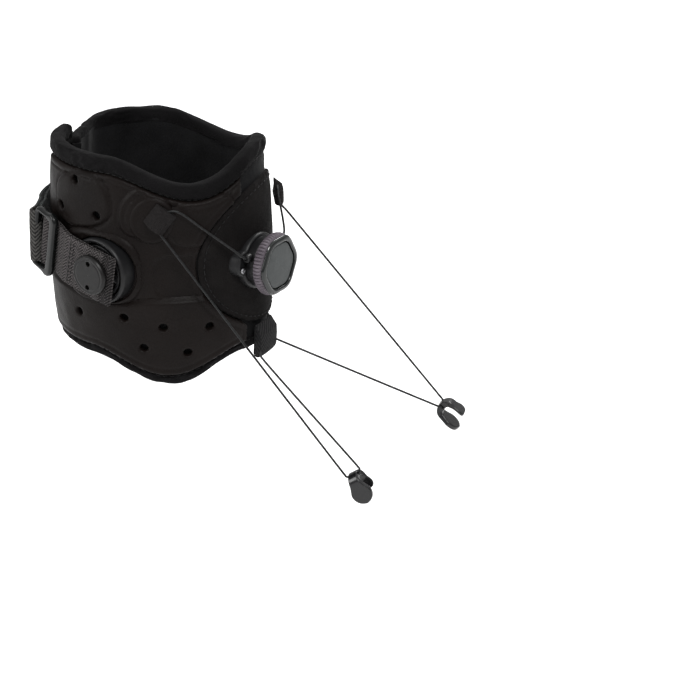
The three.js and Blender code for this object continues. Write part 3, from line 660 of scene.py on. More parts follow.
def sheet_mesh(name, outline, holes, spacing, outer, inner, place, material, edge=1.0, sharp=50):
    """A closed sheet over a flat outline with holes. outer and inner give the heights of its two faces
    at flat places, place turns a flat place and a height into a point, and edge rounds its borders."""
    borders = [np.array(loop, float) for loop in [outline] + holes]
    points = [tuple(p) for loop in borders for p in loop]
    edges = []
    start = 0
    for loop in borders:
        n = len(loop)
        edges += [(start + i, start + (i + 1) % n) for i in range(n)]
        start += n
    low, high = borders[0].min(0), borders[0].max(0)
    row_step = spacing * 0.87
    rows = int((high[1] - low[1]) / row_step) + 1
    columns = int((high[0] - low[0]) / spacing) + 2
    grid = np.array([(low[0] + (i + 0.5 * (j % 2)) * spacing, low[1] + j * row_step)
                     for j in range(rows + 1) for i in range(columns)])
    inset = np.minimum.reduce([depth_inside(grid, borders[0])]
                              + [-depth_inside(grid, hole) for hole in borders[1:]])
    points += [tuple(p) for p in grid[inset > spacing * 0.75]]
    for ring_depth in (0.25, 0.6):
        for number, loop in enumerate(borders):
            turn = np.roll(loop, -1, 0) - np.roll(loop, 1, 0)
            side = np.stack([-turn[:, 1], turn[:, 0]], 1)
            side /= np.maximum(np.linalg.norm(turn, axis=1), 1e-9)[:, None]
            if depth_inside(loop[:1] + side[:1] * 0.05, loop)[0] < 0:
                side = -side
            if number:
                side = -side
            points += [tuple(p) for p in loop + side * ring_depth * edge]
    flat = [Vector(p) for p in points]
    verts, _, faces, _, _, _ = delaunay_2d_cdt(flat, edges, [], 0, 1e-5)
    places = np.array([tuple(v) for v in verts])
    middles = np.array([places[list(f)].mean(0) for f in faces])
    keep = depth_inside(middles, borders[0]) > 0
    for hole in borders[1:]:
        keep &= depth_inside(middles, hole) < 0
    faces = [tuple(f) for f, k in zip(faces, keep) if k]
    used = sorted({i for f in faces for i in f})
    renumbered = {old: new for new, old in enumerate(used)}
    places = places[used]
    faces = [tuple(renumbered[i] for i in f) for f in faces]
    inset = np.minimum.reduce([np.abs(depth_inside(places, loop)) for loop in borders])
    short = 1 - np.clip(inset / edge, 0, 1)
    tops = outer(places) - edge * (1 - np.sqrt(np.clip(1 - short ** 2, 0, 1)))
    n = len(places)
    made = [place(u, v, h) for heights in (tops, inner(places)) for (u, v), h in zip(places, heights)]
    directed = [(a, b) for f in faces for a, b in zip(f, f[1:] + f[:1])]
    known = set(directed)
    sides = [(a, a + n, b + n, b) for a, b in directed if (b, a) not in known]
    every = faces + [tuple(i + n for i in f[::-1]) for f in faces] + sides
    uvs = [(u * MM, v * MM) for u, v in places] * 2
    return link_mesh(name, [p * MM for p in made], every, material, uvs, sharp)


def circle(u, v, radius, count=20):
    return [(u + radius * math.cos(2 * math.pi * k / count), v + radius * math.sin(2 * math.pi * k / count))
            for k in range(count)]


def shell_outline():
    """The shell's border: bottom edge, the bow round the front patch, top edge and rear edge."""
    def low_edge(turn):
        return rim_bottom(turn) + SHELL_LOW_EDGE

    def high_edge(turn):
        return rim_top(turn) - SHELL_HIGH_EDGE

    turn_step = 2
    corner = 4
    clear = 0.4
    made = [(turn, low_edge(turn)) for turn in range(SHELL_FROM + corner, SHELL_TO, turn_step)]
    low, high = low_edge(SHELL_TO), high_edge(SHELL_TO)
    for k in range(31):
        z = low + (high - low) * k / 30
        bow = (z - PATCH_Z) / (PATCH_RZ + clear)
        reach = (PATCH_RX + clear) / PATCH_ARC * math.sqrt(max(0, 1 - bow * bow))
        made.append((min(SHELL_TO, PATCH_TURN - reach), z))
    made += [(turn, high_edge(turn)) for turn in range(SHELL_TO - turn_step, SHELL_FROM + corner, -turn_step)]
    low, high = low_edge(SHELL_FROM), high_edge(SHELL_FROM)
    for k in range(25):
        made.append((SHELL_FROM + corner * abs(2 * k / 24 - 1) ** 6, high + (low - high) * k / 24))
    return [(turn * ARC, z) for turn, z in made]


def moulded_skin():
    """Dull charcoal foam skin: a fine grain, brown in the shade, shinier where it was rubbed."""
    material, tree, shader = new_material("moulded skin")
    tint(tree, shader, noise_value(tree, 35, 5),
         (0.25, (0.0026, 0.0018, 0.0016)), (0.8, (0.0058, 0.0041, 0.0036)))
    roughen(tree, shader, noise_value(tree, 120, 4), 0.36, 0.6)
    set_inputs(shader, Specular_IOR_Level=0.07)
    soft = bump(tree, shader, noise_value(tree, 130, 3), 0.0008, 0.25)
    grain = node(tree, "ShaderNodeTexVoronoi", Scale=1500.0)
    tree.links.new(object_point(tree), grain.inputs["Vector"])
    bump(tree, shader, grain.outputs["Distance"], 0.0002, 0.35, after=soft)
    return material


shell_skin = moulded_skin()


def make_shell(name, side, stands_for):
    def place(u, z, h):
        turn = u / ARC
        return on_cuff(turn if side > 0 else 180 - turn, z, h)

    holes = [circle(turn * ARC, z, VENT_RADIUS) for turn, z in VENTS]
    made = sheet_mesh(name, shell_outline(), holes, 0.9,
                      lambda places: SHELL_THICKNESS - 0.45 + shell_relief(places) * 0.9,
                      level(-0.1), place, shell_skin, edge=1.1)
    if side < 0:
        made.data.flip_normals()
    return place_piece(made, "cuff", "shell_skin", stands_for)


make_shell("outer_moulded_shell", 1, "outer_shell")
make_shell("inner_moulded_shell", -1, "inner_shell")

# ---- Front patch ----
# A panel of heavier knit sewn over the pad at the front, which carries the dial. A line of black
# thread holds its border.
def on_patch(u, v, h):
    return on_cuff(PATCH_TURN + u / PATCH_ARC, PATCH_Z + v, h)


PATCH_TOP = 1.75
patch_outline = oval_outline(PATCH_RX, PATCH_RZ)


def patch_height(places):
    depth = depth_inside(places, patch_outline)
    ripple = np.array([wobble((u, v, 0), 0.08, 0.3, 5.5) for u, v in places])
    return PATCH_TOP - 0.35 * line_of(depth - 2.6, 1.2) + 0.25 * step(depth - 6, 5) + ripple * 0.6


patch_knit = knit_fabric("patch knit", (0.0050, 0.0044, 0.0043), pitch=0.0011, sheen=0.01)
front_patch = sheet_mesh("front_knit_patch", patch_outline, [], 1.5, patch_height, level(0.1), on_patch,
                         patch_knit)
place_piece(front_patch, "cuff", "pad_fabric", "front_patch")


def stitch_line(name, path, thread, length=2.4, space=0.9, radius=0.26, body="cuff", slot="pad_fabric"):
    """A row of stitches along points in millimetres, given with their outward directions."""
    points, faces = [], []
    where = [Vector(p) for p, _ in path]
    outs = [Vector(o).normalized() for _, o in path]
    run = [0.0]
    for a, b in zip(where, where[1:]):
        run.append(run[-1] + (b - a).length)

    def at(s):
        i = max(0, min(len(run) - 2, int(np.searchsorted(run, s)) - 1))
        t = (s - run[i]) / max(run[i + 1] - run[i], 1e-9)
        return where[i].lerp(where[i + 1], t), outs[i].lerp(outs[i + 1], t).normalized()

    s = space
    while s + length < run[-1]:
        rings = []
        for k in range(7):
            x = k / 6
            p, out = at(s + length * x)
            q, _ = at(s + length * x + 0.05)
            way = (q - p).normalized()
            side = way.cross(out)
            fat = radius * math.sqrt(max(0.05, 1 - (2 * x - 1) ** 4))
            centre = p + out * (radius * 0.9 * math.sin(math.pi * x) - 0.12)
            rings.append([centre + (side * math.cos(a) + out * math.sin(a)) * fat
                          for a in (2 * math.pi * j / 8 for j in range(8))])
        more, skin = loft(rings)
        faces += [tuple(i + len(points) for i in f) for f in skin]
        points += more
        s += length + space
    made = link_mesh(name, [p * MM for p in points], faces, thread, sharp=80)
    return place_piece(made, body, slot)


def thread_material(name, colour):
    material, tree, shader = new_material(name)
    twist = node(tree, "ShaderNodeTexWave", Scale=900.0, Distortion=1.5)
    tree.links.new(object_point(tree), twist.inputs["Vector"])
    tint(tree, shader, twist.outputs["Fac"], (0.2, shaded(colour, 0.6)), (0.8, colour))
    set_inputs(shader, Roughness=0.6, Specular_IOR_Level=0.15)
    bump(tree, shader, twist.outputs["Fac"], 0.0001, 0.6)
    return material


black_thread = thread_material("black thread", (0.0055, 0.0053, 0.0055))


def outward(turn):
    return (on_cuff(turn, MID_HEIGHT, 1) - on_cuff(turn, MID_HEIGHT, 0)).normalized()


sewn_oval = oval_outline(PATCH_RX - 2.6, PATCH_RZ - 2.6, 120)
stitch_line("patch_stitches", [(on_patch(u, v, PATCH_TOP), outward(PATCH_TURN + u / PATCH_ARC))
                               for u, v in sewn_oval + sewn_oval[:1]], black_thread)
sewn_turns = range(PAD_FROM + 2, FLAP_FROM - 1, 2)
for name, sewn_height, out in (("collar_stitches", lambda t: rim_top(t) - 7.3, 0.6),
                               ("bottom_band_stitches", lambda t: rim_bottom(t) + 5.0, 0.95)):
    stitch_line(name, [(on_cuff(t, sewn_height(t), tuck(t) + out), outward(t)) for t in sewn_turns],
                black_thread, slot="binding_fabric")

# ---- Pivot panel and ring ----
# A pressed panel spreads the strap's pull over the shell. A moulded ring in its middle stands round
# the swivel disc and keeps it clear of the shell.
SIDE_ARC = 0.885


def cuff_normal(turn):
    return math.degrees(math.atan2(HALF_WIDTH * math.sin(math.radians(turn)),
                                   HALF_LENGTH * math.cos(math.radians(turn))))


def cuff_frame(turn, z, out, facing):
    """A placing matrix on the cuff: x runs to the front, y is up and z points out."""
    a = math.radians(facing)
    return frame_at(on_cuff(turn, z, out), (math.cos(a), math.sin(a), 0), (math.sin(a), -math.cos(a), 0))


def on_pivot(u, v, h):
    return on_cuff(PIVOT_TURN + u / SIDE_ARC, PIVOT_Z + v, h)


panel_outline = oval_outline(22, 18.8, power=2.7, centre=(-3.2, 0.6))


def panel_height(places):
    depth = depth_inside(places, panel_outline)
    reach = np.hypot(places[:, 0], places[:, 1])
    return (SHELL_THICKNESS + 1.35 * step(depth - 1.2, 2.6) - 0.35 * line_of(depth - 4.2, 1.3)
            - 0.3 * np.clip(1 - np.abs(reach - 18.2) / 0.8, 0, 1))


panel = sheet_mesh("strap_pivot_panel", panel_outline, [circle(0, 0, 16.3, 64)], 1.1, panel_height,
                   level(1.6), on_pivot, shell_skin, edge=0.9)
place_piece(panel, "cuff", "shell_skin", "pivot_panel")


def softened(profile, edge, per_corner=4):
    """A closed profile with each corner rounded by up to a stated edge."""
    made = []
    n = len(profile)
    for i in range(n):
        here = np.array(profile[i], float)
        before = np.array(profile[i - 1], float) - here
        after = np.array(profile[(i + 1) % n], float) - here
        cut_back = min(edge, 0.45 * np.linalg.norm(before), 0.45 * np.linalg.norm(after))
        a = here + before / np.linalg.norm(before) * cut_back
        b = here + after / np.linalg.norm(after) * cut_back
        for k in range(per_corner + 1):
            t = k / per_corner
            made.append(tuple((1 - t) ** 2 * a + 2 * t * (1 - t) * here + t * t * b))
    return made


def turned_piece(name, matrix, profile, material, edge=0.3, steps=96, shape=None, sharp=35):
    """A ring-shaped turned piece. Its closed profile of (radius, height) places stays clear of the axis,
    and shape may move each (radius, height, turn)."""
    outline = softened(profile, edge)
    rings = []
    for k in range(steps):
        turn = 2 * math.pi * k / steps
        moved = [shape(r, h, turn) for r, h in outline] if shape else outline
        rings.append([Vector((r * math.cos(turn), r * math.sin(turn), h)) for r, h in moved])
    points, faces = loft(rings, closed=True)
    made = link_mesh(name, to_metres(matrix, points), faces, material, sharp=sharp)
    face_out(made)
    return made


def face_out(piece):
    """Turns a closed mesh's faces outwards if its volume comes out negative."""
    skin = bmesh.new()
    skin.from_mesh(piece.data)
    if skin.calc_volume(signed=True) < 0:
        bmesh.ops.reverse_faces(skin, faces=skin.faces)
        skin.to_mesh(piece.data)
    skin.free()


def turned_solid(name, matrix, profile, material, edge=0.3, steps=72, shape=None, sharp=35):
    """A turned piece that closes on its axis: the profile runs from the axis out and back to it."""
    inner = softened([(0.0, profile[0][1])] + profile + [(0.0, profile[-1][1])], edge)
    trimmed = [(max(r, 0.02), h) for r, h in inner]
    return turned_piece(name, matrix, trimmed, material, 0.0001, steps, shape, sharp)


def satin_plastic(name, colour, rough=(0.32, 0.5), grain=0.25):
    return mottled(name, (90, 4, (0.3, shaded(colour, 0.75)), (0.75, colour)), (300, 4, *rough),
                   (4200, 2, 0.00006, grain), 0.2)


black_plastic = satin_plastic("black moulding", (0.0055, 0.0055, 0.006))
pivot_matrix = cuff_frame(PIVOT_TURN, PIVOT_Z, 0, cuff_normal(PIVOT_TURN) - PIVOT_REARWARD)
pivot_ring = turned_piece("swivel_ring", pivot_matrix, [
    (12.9, -2.6), (16.0, -2.6), (16.0, 4.6), (15.4, 5.7), (14.3, 5.7), (13.6, 4.6)],
    black_plastic, edge=0.5, steps=120)
place_piece(pivot_ring, "cuff", "black_plastic", "pivot_ring")

# ---- Swivel: disc, tab, buckle and rivet cap ----
# The strap tab turns on a rivet in the ring. Its disc is moulded with four curved windows. The tab is
# herringbone webbing that runs under the buckle's front bar and folds round its thin middle bar. The
# rivet cap clamps the tab's two layers to the disc.
DISC_RADIUS = 12.6
WINDOW_FROM, WINDOW_TO, WINDOW_HALF_TURN = 5.6, 11.2, 34
tab_matrix = pivot_matrix @ Matrix.Rotation(-math.radians(PIVOT_TILT), 4, "Z")


def window_outline(turn, steps=12):
    a = [math.radians(turn + WINDOW_HALF_TURN * (2 * k / steps - 1)) for k in range(steps + 1)]
    ring = [(WINDOW_TO * math.cos(x), WINDOW_TO * math.sin(x)) for x in a]
    return ring + [(WINDOW_FROM * math.cos(x), WINDOW_FROM * math.sin(x)) for x in a[::-1]]


def on_tab(x, y, h):
    return tab_matrix @ Vector((x, y, h))


disc = sheet_mesh("swivel_disc_moulding", circle(0, 0, DISC_RADIUS, 84),
                  [window_outline(t) for t in (45, 135, 225, 315)] + [circle(0, 0, 2.9, 24)], 1.0,
                  lambda places: 4.7 + 1.4 * step(5.2 - np.hypot(places[:, 0], places[:, 1]), 1.4),
                  level(3.4), on_tab, black_plastic, edge=0.5, sharp=40)
place_piece(disc, "strap_tab", "black_plastic", "swivel_disc")


def webbing_material(name, dark, light, thread, bands, along="X", across="Y", dark_start_length=0.0):
    """Herringbone webbing: slanting ribs that change their slant from band to band. The last argument is the
    length of a darker band at the start of the run."""
    material, tree, shader = new_material(name)
    uv = node(tree, "ShaderNodeUVMap", uv_map="cloth")
    split = node(tree, "ShaderNodeSeparateXYZ")
    tree.links.new(uv.outputs["UV"], split.inputs["Vector"])

    def math_node(operation, a, b=None):
        made = node(tree, "ShaderNodeMath", operation=operation)
        for slot_number, value in enumerate((a, b)):
            if isinstance(value, (int, float)):
                made.inputs[slot_number].default_value = value
            elif value is not None:
                tree.links.new(value, made.inputs[slot_number])
        return made.outputs[0]

    weft_width = 0.0004
    zigzag = math_node("PINGPONG", split.outputs[across], bands / 2)
    slanted = math_node("ADD", math_node("MULTIPLY", zigzag, 1.1), split.outputs[along])
    rib = math_node("DIVIDE", math_node("PINGPONG", slanted, thread / 2), thread / 2)
    weft = math_node("DIVIDE", math_node("PINGPONG", split.outputs[across], weft_width), weft_width)
    mottle = noise_value(tree, 700, 4)
    shade = math_node("ADD", math_node("MULTIPLY", rib, 0.55), math_node("MULTIPLY", mottle, 0.55))
    # A darker band across the webbing at the start of the run.
    if dark_start_length:
        end = math_node("LESS_THAN", split.outputs["X"], dark_start_length)
        shade = math_node("SUBTRACT", shade, math_node("MULTIPLY", end, 0.22))
    between = tuple((a + b) / 2 for a, b in zip(dark, light))
    tint(tree, shader, shade, (0.32, dark), (0.55, between), (0.8, light))
    set_inputs(shader, Roughness=0.85, Specular_IOR_Level=0.12)
    coarse = bump(tree, shader, rib, 0.0005, 0.8)
    bump(tree, shader, weft, 0.0002, 0.35, after=coarse)
    return material


tab_webbing = webbing_material("tab webbing", (0.005, 0.0044, 0.0044), (0.066, 0.060, 0.060), 0.0016, 0.0046,
                               along="Y", across="X", dark_start_length=0.0062)
WEBBING_WIDTH = 25.0
ACROSS = 14


def smooth_path(points, per_span=6):
    """Points of a smooth open line through the given ones."""
    pts = [np.array(p, float) for p in points]
    pts = [2 * pts[0] - pts[1]] + pts + [2 * pts[-1] - pts[-2]]
    made = []
    for i in range(1, len(pts) - 2):
        p0, p1, p2, p3 = pts[i - 1:i + 3]
        for k in range(per_span):
            t = k / per_span
            made.append(0.5 * (2 * p1 + (p2 - p0) * t + (2 * p0 - 5 * p1 + 4 * p2 - p3) * t * t
                               + (3 * p1 - p0 - 3 * p2 + p3) * t ** 3))
    made.append(pts[-2])
    return made


def along_path(line):
    """Each point of a path, with the direction of its side and the length run so far."""
    run = 0.0
    for i, here in enumerate(line):
        before, after = line[max(i - 1, 0)], line[min(i + 1, len(line) - 1)]
        way = (after - before) / max(np.linalg.norm(after - before), 1e-9)
        if i:
            run += np.linalg.norm(here - line[i - 1])
        yield here, np.array((-way[1], way[0])), run


def webbing_section(width, full_width, thickness, rim_width, rim_share):
    """Places across webbing, over its upper face and back over its lower one, each with how far that
    face stands off the middle."""
    steps = [width * (j / (ACROSS - 1) - 0.5) for j in range(ACROSS)]
    section = []
    for y, face in [(y, 1) for y in steps] + [(y, -1) for y in reversed(steps)]:
        rim = min(1.0, (full_width / 2 - abs(y)) / rim_width)
        half = thickness / 2 * (rim_share + (1 - rim_share) * math.sqrt(max(rim, 0)))
        section.append((y, face * half))
    return section


def ribbon(name, matrix, path, width, thickness, material):
    """Webbing along a path of (x, z) places in a frame whose y axis lies across the webbing."""
    section = webbing_section(width, width, thickness, 0.6, 0.45)
    rings, uvs = [], []
    for here, side, run in along_path(smooth_path(path)):
        ring = []
        for y, face_at in section:
            x, z = here + side * (face_at + wobble((run, y, 1.0), 0.3, 0.08))
            ring.append(Vector((x, y, z)))
            uvs.append((run * MM, y * MM))
        rings.append(ring)
    points, faces = loft(rings)
    made = link_mesh(name, to_metres(matrix, points), faces, material, uvs, sharp=50)
    face_out(made)
    return made


BUCKLE_X, BUCKLE_Z, BUCKLE_LEAN = -34.6, 4.4, math.radians(13.8)
BUCKLE_LENGTH, BUCKLE_HEIGHT, BUCKLE_THICK = 17.0, 31.4, 3.2
FRONT_BAR, SIDE_BAR, BUCKLE_CORNER = 4.8, 2.7, 2.4


def bar_centre(along):
    return (BUCKLE_X + along * math.cos(BUCKLE_LEAN), BUCKLE_Z + along * math.sin(BUCKLE_LEAN))


rear_bar = bar_centre(-BUCKLE_LENGTH / 2 + SIDE_BAR / 2)
tab_path = [
    (11.4, 8.75), (4, 8.75), (-6, 8.7), (-16.5, 8.3), (-22, 6.4), (-27, 4.0), (-30.6, 3.1), (-34.5, 3.75),
    (-36.6, 3.3), (-37.3, 2.3), (-36.6, 1.2), (-34.5, 0.85), (-31, 1.9), (-26.5, 3.0), (-21.5, 5.2),
    (-16.5, 6.95), (-6, 7.3), (4, 7.35), (11.2, 7.35)]
tab = ribbon("herringbone_tab", tab_matrix, tab_path, WEBBING_WIDTH, 1.05, tab_webbing)
place_piece(tab, "strap_tab", "webbing", "webbing_tab")


def across_tab(x, z):
    return [(tab_matrix @ Vector((x, y, z)), tab_matrix.to_3x3() @ Vector((0, 0, 1)))
            for y in np.linspace(-11.6, 11.6, 12)]


for number, x in enumerate((-14.6, -12.8)):
    stitch_line(f"tab_stitches_{number + 1}", across_tab(x, 9.0), black_thread, 1.9, 0.5, 0.3,
                "strap_tab", "webbing")


def closed_sweep(name, matrix, path, section_at, material, sharp=60):
    """Sweeps a section round a closed path in the frame's x-y plane."""
    n = len(path)
    rings = []
    for i in range(n):
        here = np.array(path[i])
        way = np.array(path[(i + 1) % n]) - np.array(path[i - 1])
        way /= np.linalg.norm(way)
        side = Vector((way[1], -way[0], 0))
        rings.append([Vector((here[0], here[1], 0)) + side * a + Vector((0, 0, b))
                      for a, b in section_at(here[0], here[1])])
    points, faces = loft(rings, closed=True)
    made = link_mesh(name, to_metres(matrix, points), faces, material, sharp=sharp)
    face_out(made)
    return made


buckle_gloss = gloss_plastic("buckle moulding", (0.003, 0.0034, 0.0034), (0.14, 0.3), shine=0.2)
buckle_matrix = (tab_matrix @ Matrix.Translation((BUCKLE_X, 0, BUCKLE_Z))
                 @ Matrix.Rotation(-BUCKLE_LEAN, 4, "Y"))


def buckle_path():
    """The middle line of the buckle's bars: a rectangle with round corners."""
    left = -BUCKLE_LENGTH / 2 + SIDE_BAR / 2
    right = BUCKLE_LENGTH / 2 - FRONT_BAR / 2
    top = BUCKLE_HEIGHT / 2 - SIDE_BAR / 2
    in_right, in_left, in_top = right - BUCKLE_CORNER, left + BUCKLE_CORNER, top - BUCKLE_CORNER
    made = []
    for cx, cy, start in ((in_right, in_top, 0), (in_left, in_top, 90),
                          (in_left, -in_top, 180), (in_right, -in_top, 270)):
        for k in range(9):
            a = math.radians(start + 90 * k / 8)
            made.append((cx + BUCKLE_CORNER * math.cos(a), cy + BUCKLE_CORNER * math.sin(a)))
    dense = []
    for a, b in zip(made, made[1:] + made[:1]):
        parts = max(1, int(math.dist(a, b) / 1.2))
        dense += [(a[0] + (b[0] - a[0]) * k / parts, a[1] + (b[1] - a[1]) * k / parts) for k in range(parts)]
    return dense


def buckle_section(x, y):
    grow = ease(x, 0, 5.5)
    return rounded_section(SIDE_BAR / 2 + (FRONT_BAR - SIDE_BAR) / 2 * grow, BUCKLE_THICK / 2, 1.25, 5)


buckle = closed_sweep("buckle_frame", buckle_matrix, buckle_path(), buckle_section, buckle_gloss)
place_piece(buckle, "strap_tab", "gloss_plastic", "buckle_ring")

# The tab's fold is held by a thin middle bar, which lies lower than the two outer bars.
MIDDLE_BAR_X, MIDDLE_BAR_Z, MIDDLE_BAR_REACH = -35.1, 2.3, 14.4
middle_rings = []
for y in np.linspace(-MIDDLE_BAR_REACH, MIDDLE_BAR_REACH, 13):
    thick = 0.8 + 0.4 * ease(abs(y), 12.7, MIDDLE_BAR_REACH)
    middle_rings.append([Vector((MIDDLE_BAR_X + x, y, MIDDLE_BAR_Z + z))
                         for x, z in rounded_section(thick, thick, 0.6)])
points, faces = loft(middle_rings)
middle_bar = link_mesh("buckle_middle_bar", to_metres(tab_matrix, points), faces, buckle_gloss, sharp=60)
face_out(middle_bar)
place_piece(middle_bar, "strap_tab", "gloss_plastic")

rivet_cap = turned_solid("rivet_cap_moulding", tab_matrix, [
    (2.5, 3.8), (2.5, 9.5), (9.5, 9.5), (9.6, 11.3), (8.9, 12.3), (7.6, 12.15), (7.2, 12.35)],
    satin_plastic("cap moulding", (0.0042, 0.0039, 0.0038), (0.3, 0.46)), edge=0.35, steps=96)
hole_way = tab_matrix.to_3x3() @ Vector((0, 0, 1))
cut_away(rivet_cap, pegs("spanner_cutter", [(on_tab(x, y, 13) * MM, hole_way)
                                            for x, y in ((-0.6, 6.0), (0.6, -6.0))], 1.25 * MM, 4.4 * MM))
rivet_cap.data.set_sharp_from_angle(angle=math.radians(35))
place_piece(rivet_cap, "strap_tab", "black_plastic", "rivet_cap")

# ---- Rear strap ----
# A loop-pile strap that is sewn to the inner shell, runs behind the leg, turns round the buckle's
# rear bar and is pressed back on itself. Its turn round the bar is bare webbing.
def loop_pile():
    """Fuzzy loop pile: dense small bumps with a strong nap."""
    material, tree, shader = new_material("loop pile")
    tint(tree, shader, noise_value(tree, 900, 5), (0.3, (0.004, 0.005, 0.005)), (0.8, (0.024, 0.029, 0.028)))
    set_inputs(shader, Roughness=0.95, Specular_IOR_Level=0.1, Sheen_Weight=0.05)
    tufts = node(tree, "ShaderNodeTexVoronoi", Scale=1100.0)
    tree.links.new(object_point(tree), tufts.inputs["Vector"])
    rough = bump(tree, shader, noise_value(tree, 350, 4), 0.0008, 0.6)
    bump(tree, shader, tufts.outputs["Distance"], 0.0006, 0.9, after=rough)
    return material


pile = loop_pile()
bare_webbing = webbing_material("bare webbing", (0.004, 0.004, 0.0038), (0.055, 0.053, 0.050), 0.0019, 0.0046,
                                along="Y", across="X")
rear_bar_at = tab_matrix @ Vector((rear_bar[0], 0, rear_bar[1]))
STRAP_MIDDLE = 67.0
BARE_REACH = 6.5


def strap_points():
    """The strap's middle line seen from above: from its free end, over itself, round the bar and back."""
    def moved_out(places, distance):
        return [tuple(np.array(p) + np.array(p) / np.linalg.norm(p) * distance) for p in places]

    wrap_radius = 2.4
    behind = [(-55.5, -13), (-57.5, -6), (-58.5, 2), (-58, 10)]
    landing_at = [tuple(on_cuff(turn, MID_HEIGHT, 5.6).xy) for turn in (236, 226, 216, 207)]
    bar = np.array(rear_bar_at.xy)
    wrap = [(wrap_radius * math.cos(a), wrap_radius * math.sin(a)) for a in np.radians(range(180, 361, 45))]
    near_bar = [tuple(bar + step_off) for step_off in [(-1.9, 5.0)] + wrap + [(1.2, 4.2), (-0.2, 8)]]
    return moved_out(reversed(behind), 1.3) + near_bar + moved_out(behind, -1.2) + landing_at


def strap_mesh():
    section = webbing_section(WEBBING_WIDTH - 0.4, WEBBING_WIDTH, 1.5, 0.8, 0.5)
    bar = np.array(rear_bar_at.xy)
    lean = 0.6 * math.sin(math.radians(PIVOT_TILT))
    rings, uvs = [], []
    for here, side, run in along_path(smooth_path(strap_points())):
        near = 1 - ease(np.linalg.norm(here - bar), 3, 22)
        middle = STRAP_MIDDLE + near * (rear_bar_at.z - STRAP_MIDDLE)
        ring = []
        for y, face_at in section:
            x, depth = here + side * (face_at + wobble((run, y, 2.0), 0.25, 0.22))
            ring.append(Vector((x, depth + y * lean * near, middle + y * (1 - 0.02 * near))))
            uvs.append((run * MM, y * MM))
        rings.append(ring)
    points, faces = loft(rings)
    made = link_mesh("loop_pile_strap", [p * MM for p in points], faces, pile, uvs, sharp=60)
    face_out(made)
    made.data.materials.append(bare_webbing)
    for face in made.data.polygons:
        if math.dist((face.center / MM).xy, bar) < BARE_REACH:
            face.material_index = 1
    return made


rear_strap = strap_mesh()
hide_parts("strap_fold", "rear_strap")
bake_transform(rear_strap)

# The strap's end lies on a landing patch that is sewn to the inner shell.
def on_landing(u, v, h):
    return on_cuff(217 + u / 0.86, STRAP_MIDDLE + v, h)


landing = sheet_mesh("strap_landing_patch", oval_outline(17, 15, 48, power=9), [], 1.6, level(3.7),
                     level(2.3), on_landing, pile, edge=0.6)
place_piece(landing, "cuff", "pad_fabric", "strap_landing")

# ---- Dial base and housing ----
# The reel's base is glued and screwed through the front patch. Its housing holds the spool, and a
# lace port opens on either side.
DIAL_FACING = 70
dial_matrix = cuff_frame(72, 57.5, 1.15, DIAL_FACING)
CUFF_RADIUS = 42
FLANGE_RADIUS, FLANGE_TOP = 13.7, 2.6
EAR_TURN, EAR_SPAN, EAR_REACH = 10.0, 27.0, 4.2


def flange_outline():
    """The base plate seen from the front: a disc with a soft ear on each side for its screw."""
    made = []
    for degrees in range(0, 360, 3):
        nearest = min(abs(degrees - at) for at in (EAR_TURN, 180 - EAR_TURN, 360 + EAR_TURN))
        ear = max(0.0, 1 - (nearest / EAR_SPAN) ** 3)
        radius = FLANGE_RADIUS + EAR_REACH * ear
        made.append((radius * math.cos(math.radians(degrees)), radius * math.sin(math.radians(degrees))))
    return made


flange = sheet_mesh("base_flange", flange_outline(), [], 1.2, level(FLANGE_TOP),
                    lambda places: -0.35 - places[:, 0] ** 2 / (2 * CUFF_RADIUS),
                    lambda x, y, h: dial_matrix @ Vector((x, y, h)), black_plastic, edge=1.3, sharp=40)
place_piece(flange, "cuff", "black_plastic", "dial_flange")
housing = turned_piece("reel_housing", dial_matrix, [
    (10.6, 2.6), (12.3, 2.6), (12.3, 6.4), (11.6, 7.2), (10.6, 7.2)], black_plastic, edge=0.35, steps=120)
place_piece(housing, "cuff", "black_plastic", "dial_housing")
port_way = dial_matrix.to_3x3() @ Vector((1, 0, 0))
for side in (-1, 1):
    centre = dial_matrix @ Vector((side * 12.9, 6.0, 4.4))
    collar = turned_piece(f"lace_port_{'outer' if side < 0 else 'inner'}",
                          frame_at(centre, dial_matrix.to_3x3() @ Vector((0, 1, 0)), port_way * side),
                          [(0.85, -1.5), (2.0, -1.5), (2.0, 1.2), (1.6, 1.8), (0.95, 1.8)],
                          black_plastic, edge=0.3, steps=32)
    place_piece(collar, "cuff", "black_plastic")


def screw_steel():
    material, tree, shader = new_material("screw steel")
    tint(tree, shader, noise_value(tree, 800, 3), (0.3, (0.10, 0.10, 0.105)), (0.7, (0.24, 0.24, 0.25)))
    roughen(tree, shader, noise_value(tree, 2000, 3), 0.25, 0.5)
    set_inputs(shader, Metallic=1.0)
    return material


steel = screw_steel()
for number, side in enumerate((-1, 1)):
    head_matrix = dial_matrix @ Matrix.Translation((side * 15.2, 0, 2.9))
    head = turned_solid(f"screw_head_{number + 1}", head_matrix,
                        [(0.6, -1.0), (0.6, 0.0), (1.5, 0.0), (1.5, 0.45), (1.0, 0.95)], steel, 0.15, 40)
    recess = [(head_matrix @ Vector((0, 0, 1.2)) * MM, dial_matrix.to_3x3() @ Vector((0, 0, 1)))]
    cut_away(head, pegs("driver_cutter", recess, 0.5 * MM, 1.2 * MM, 6))
    place_piece(head, "cuff", "steel", f"dial_screw_{number + 1}")

# ---- Reel inside ----
# The spool, pawl disc and post are inside the housing. They show only when the knob is pulled out.
for hidden in ("spool", "pawl_disc", "centre_post"):
    inner_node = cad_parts[hidden]
    inner_node.data.materials.clear()
    inner_node.data.materials.append(black_plastic if hidden != "centre_post" else steel)

# ---- Knob ----
# A rigid core carries a purple-grey rubber grip with fine ridges, a glossy bezel with a softly
# six-sided edge, and a matte cap sunk in the bezel.
KNOB_LOW, GRIP_TOP = 7.6, 12.4
RIDGES = 54


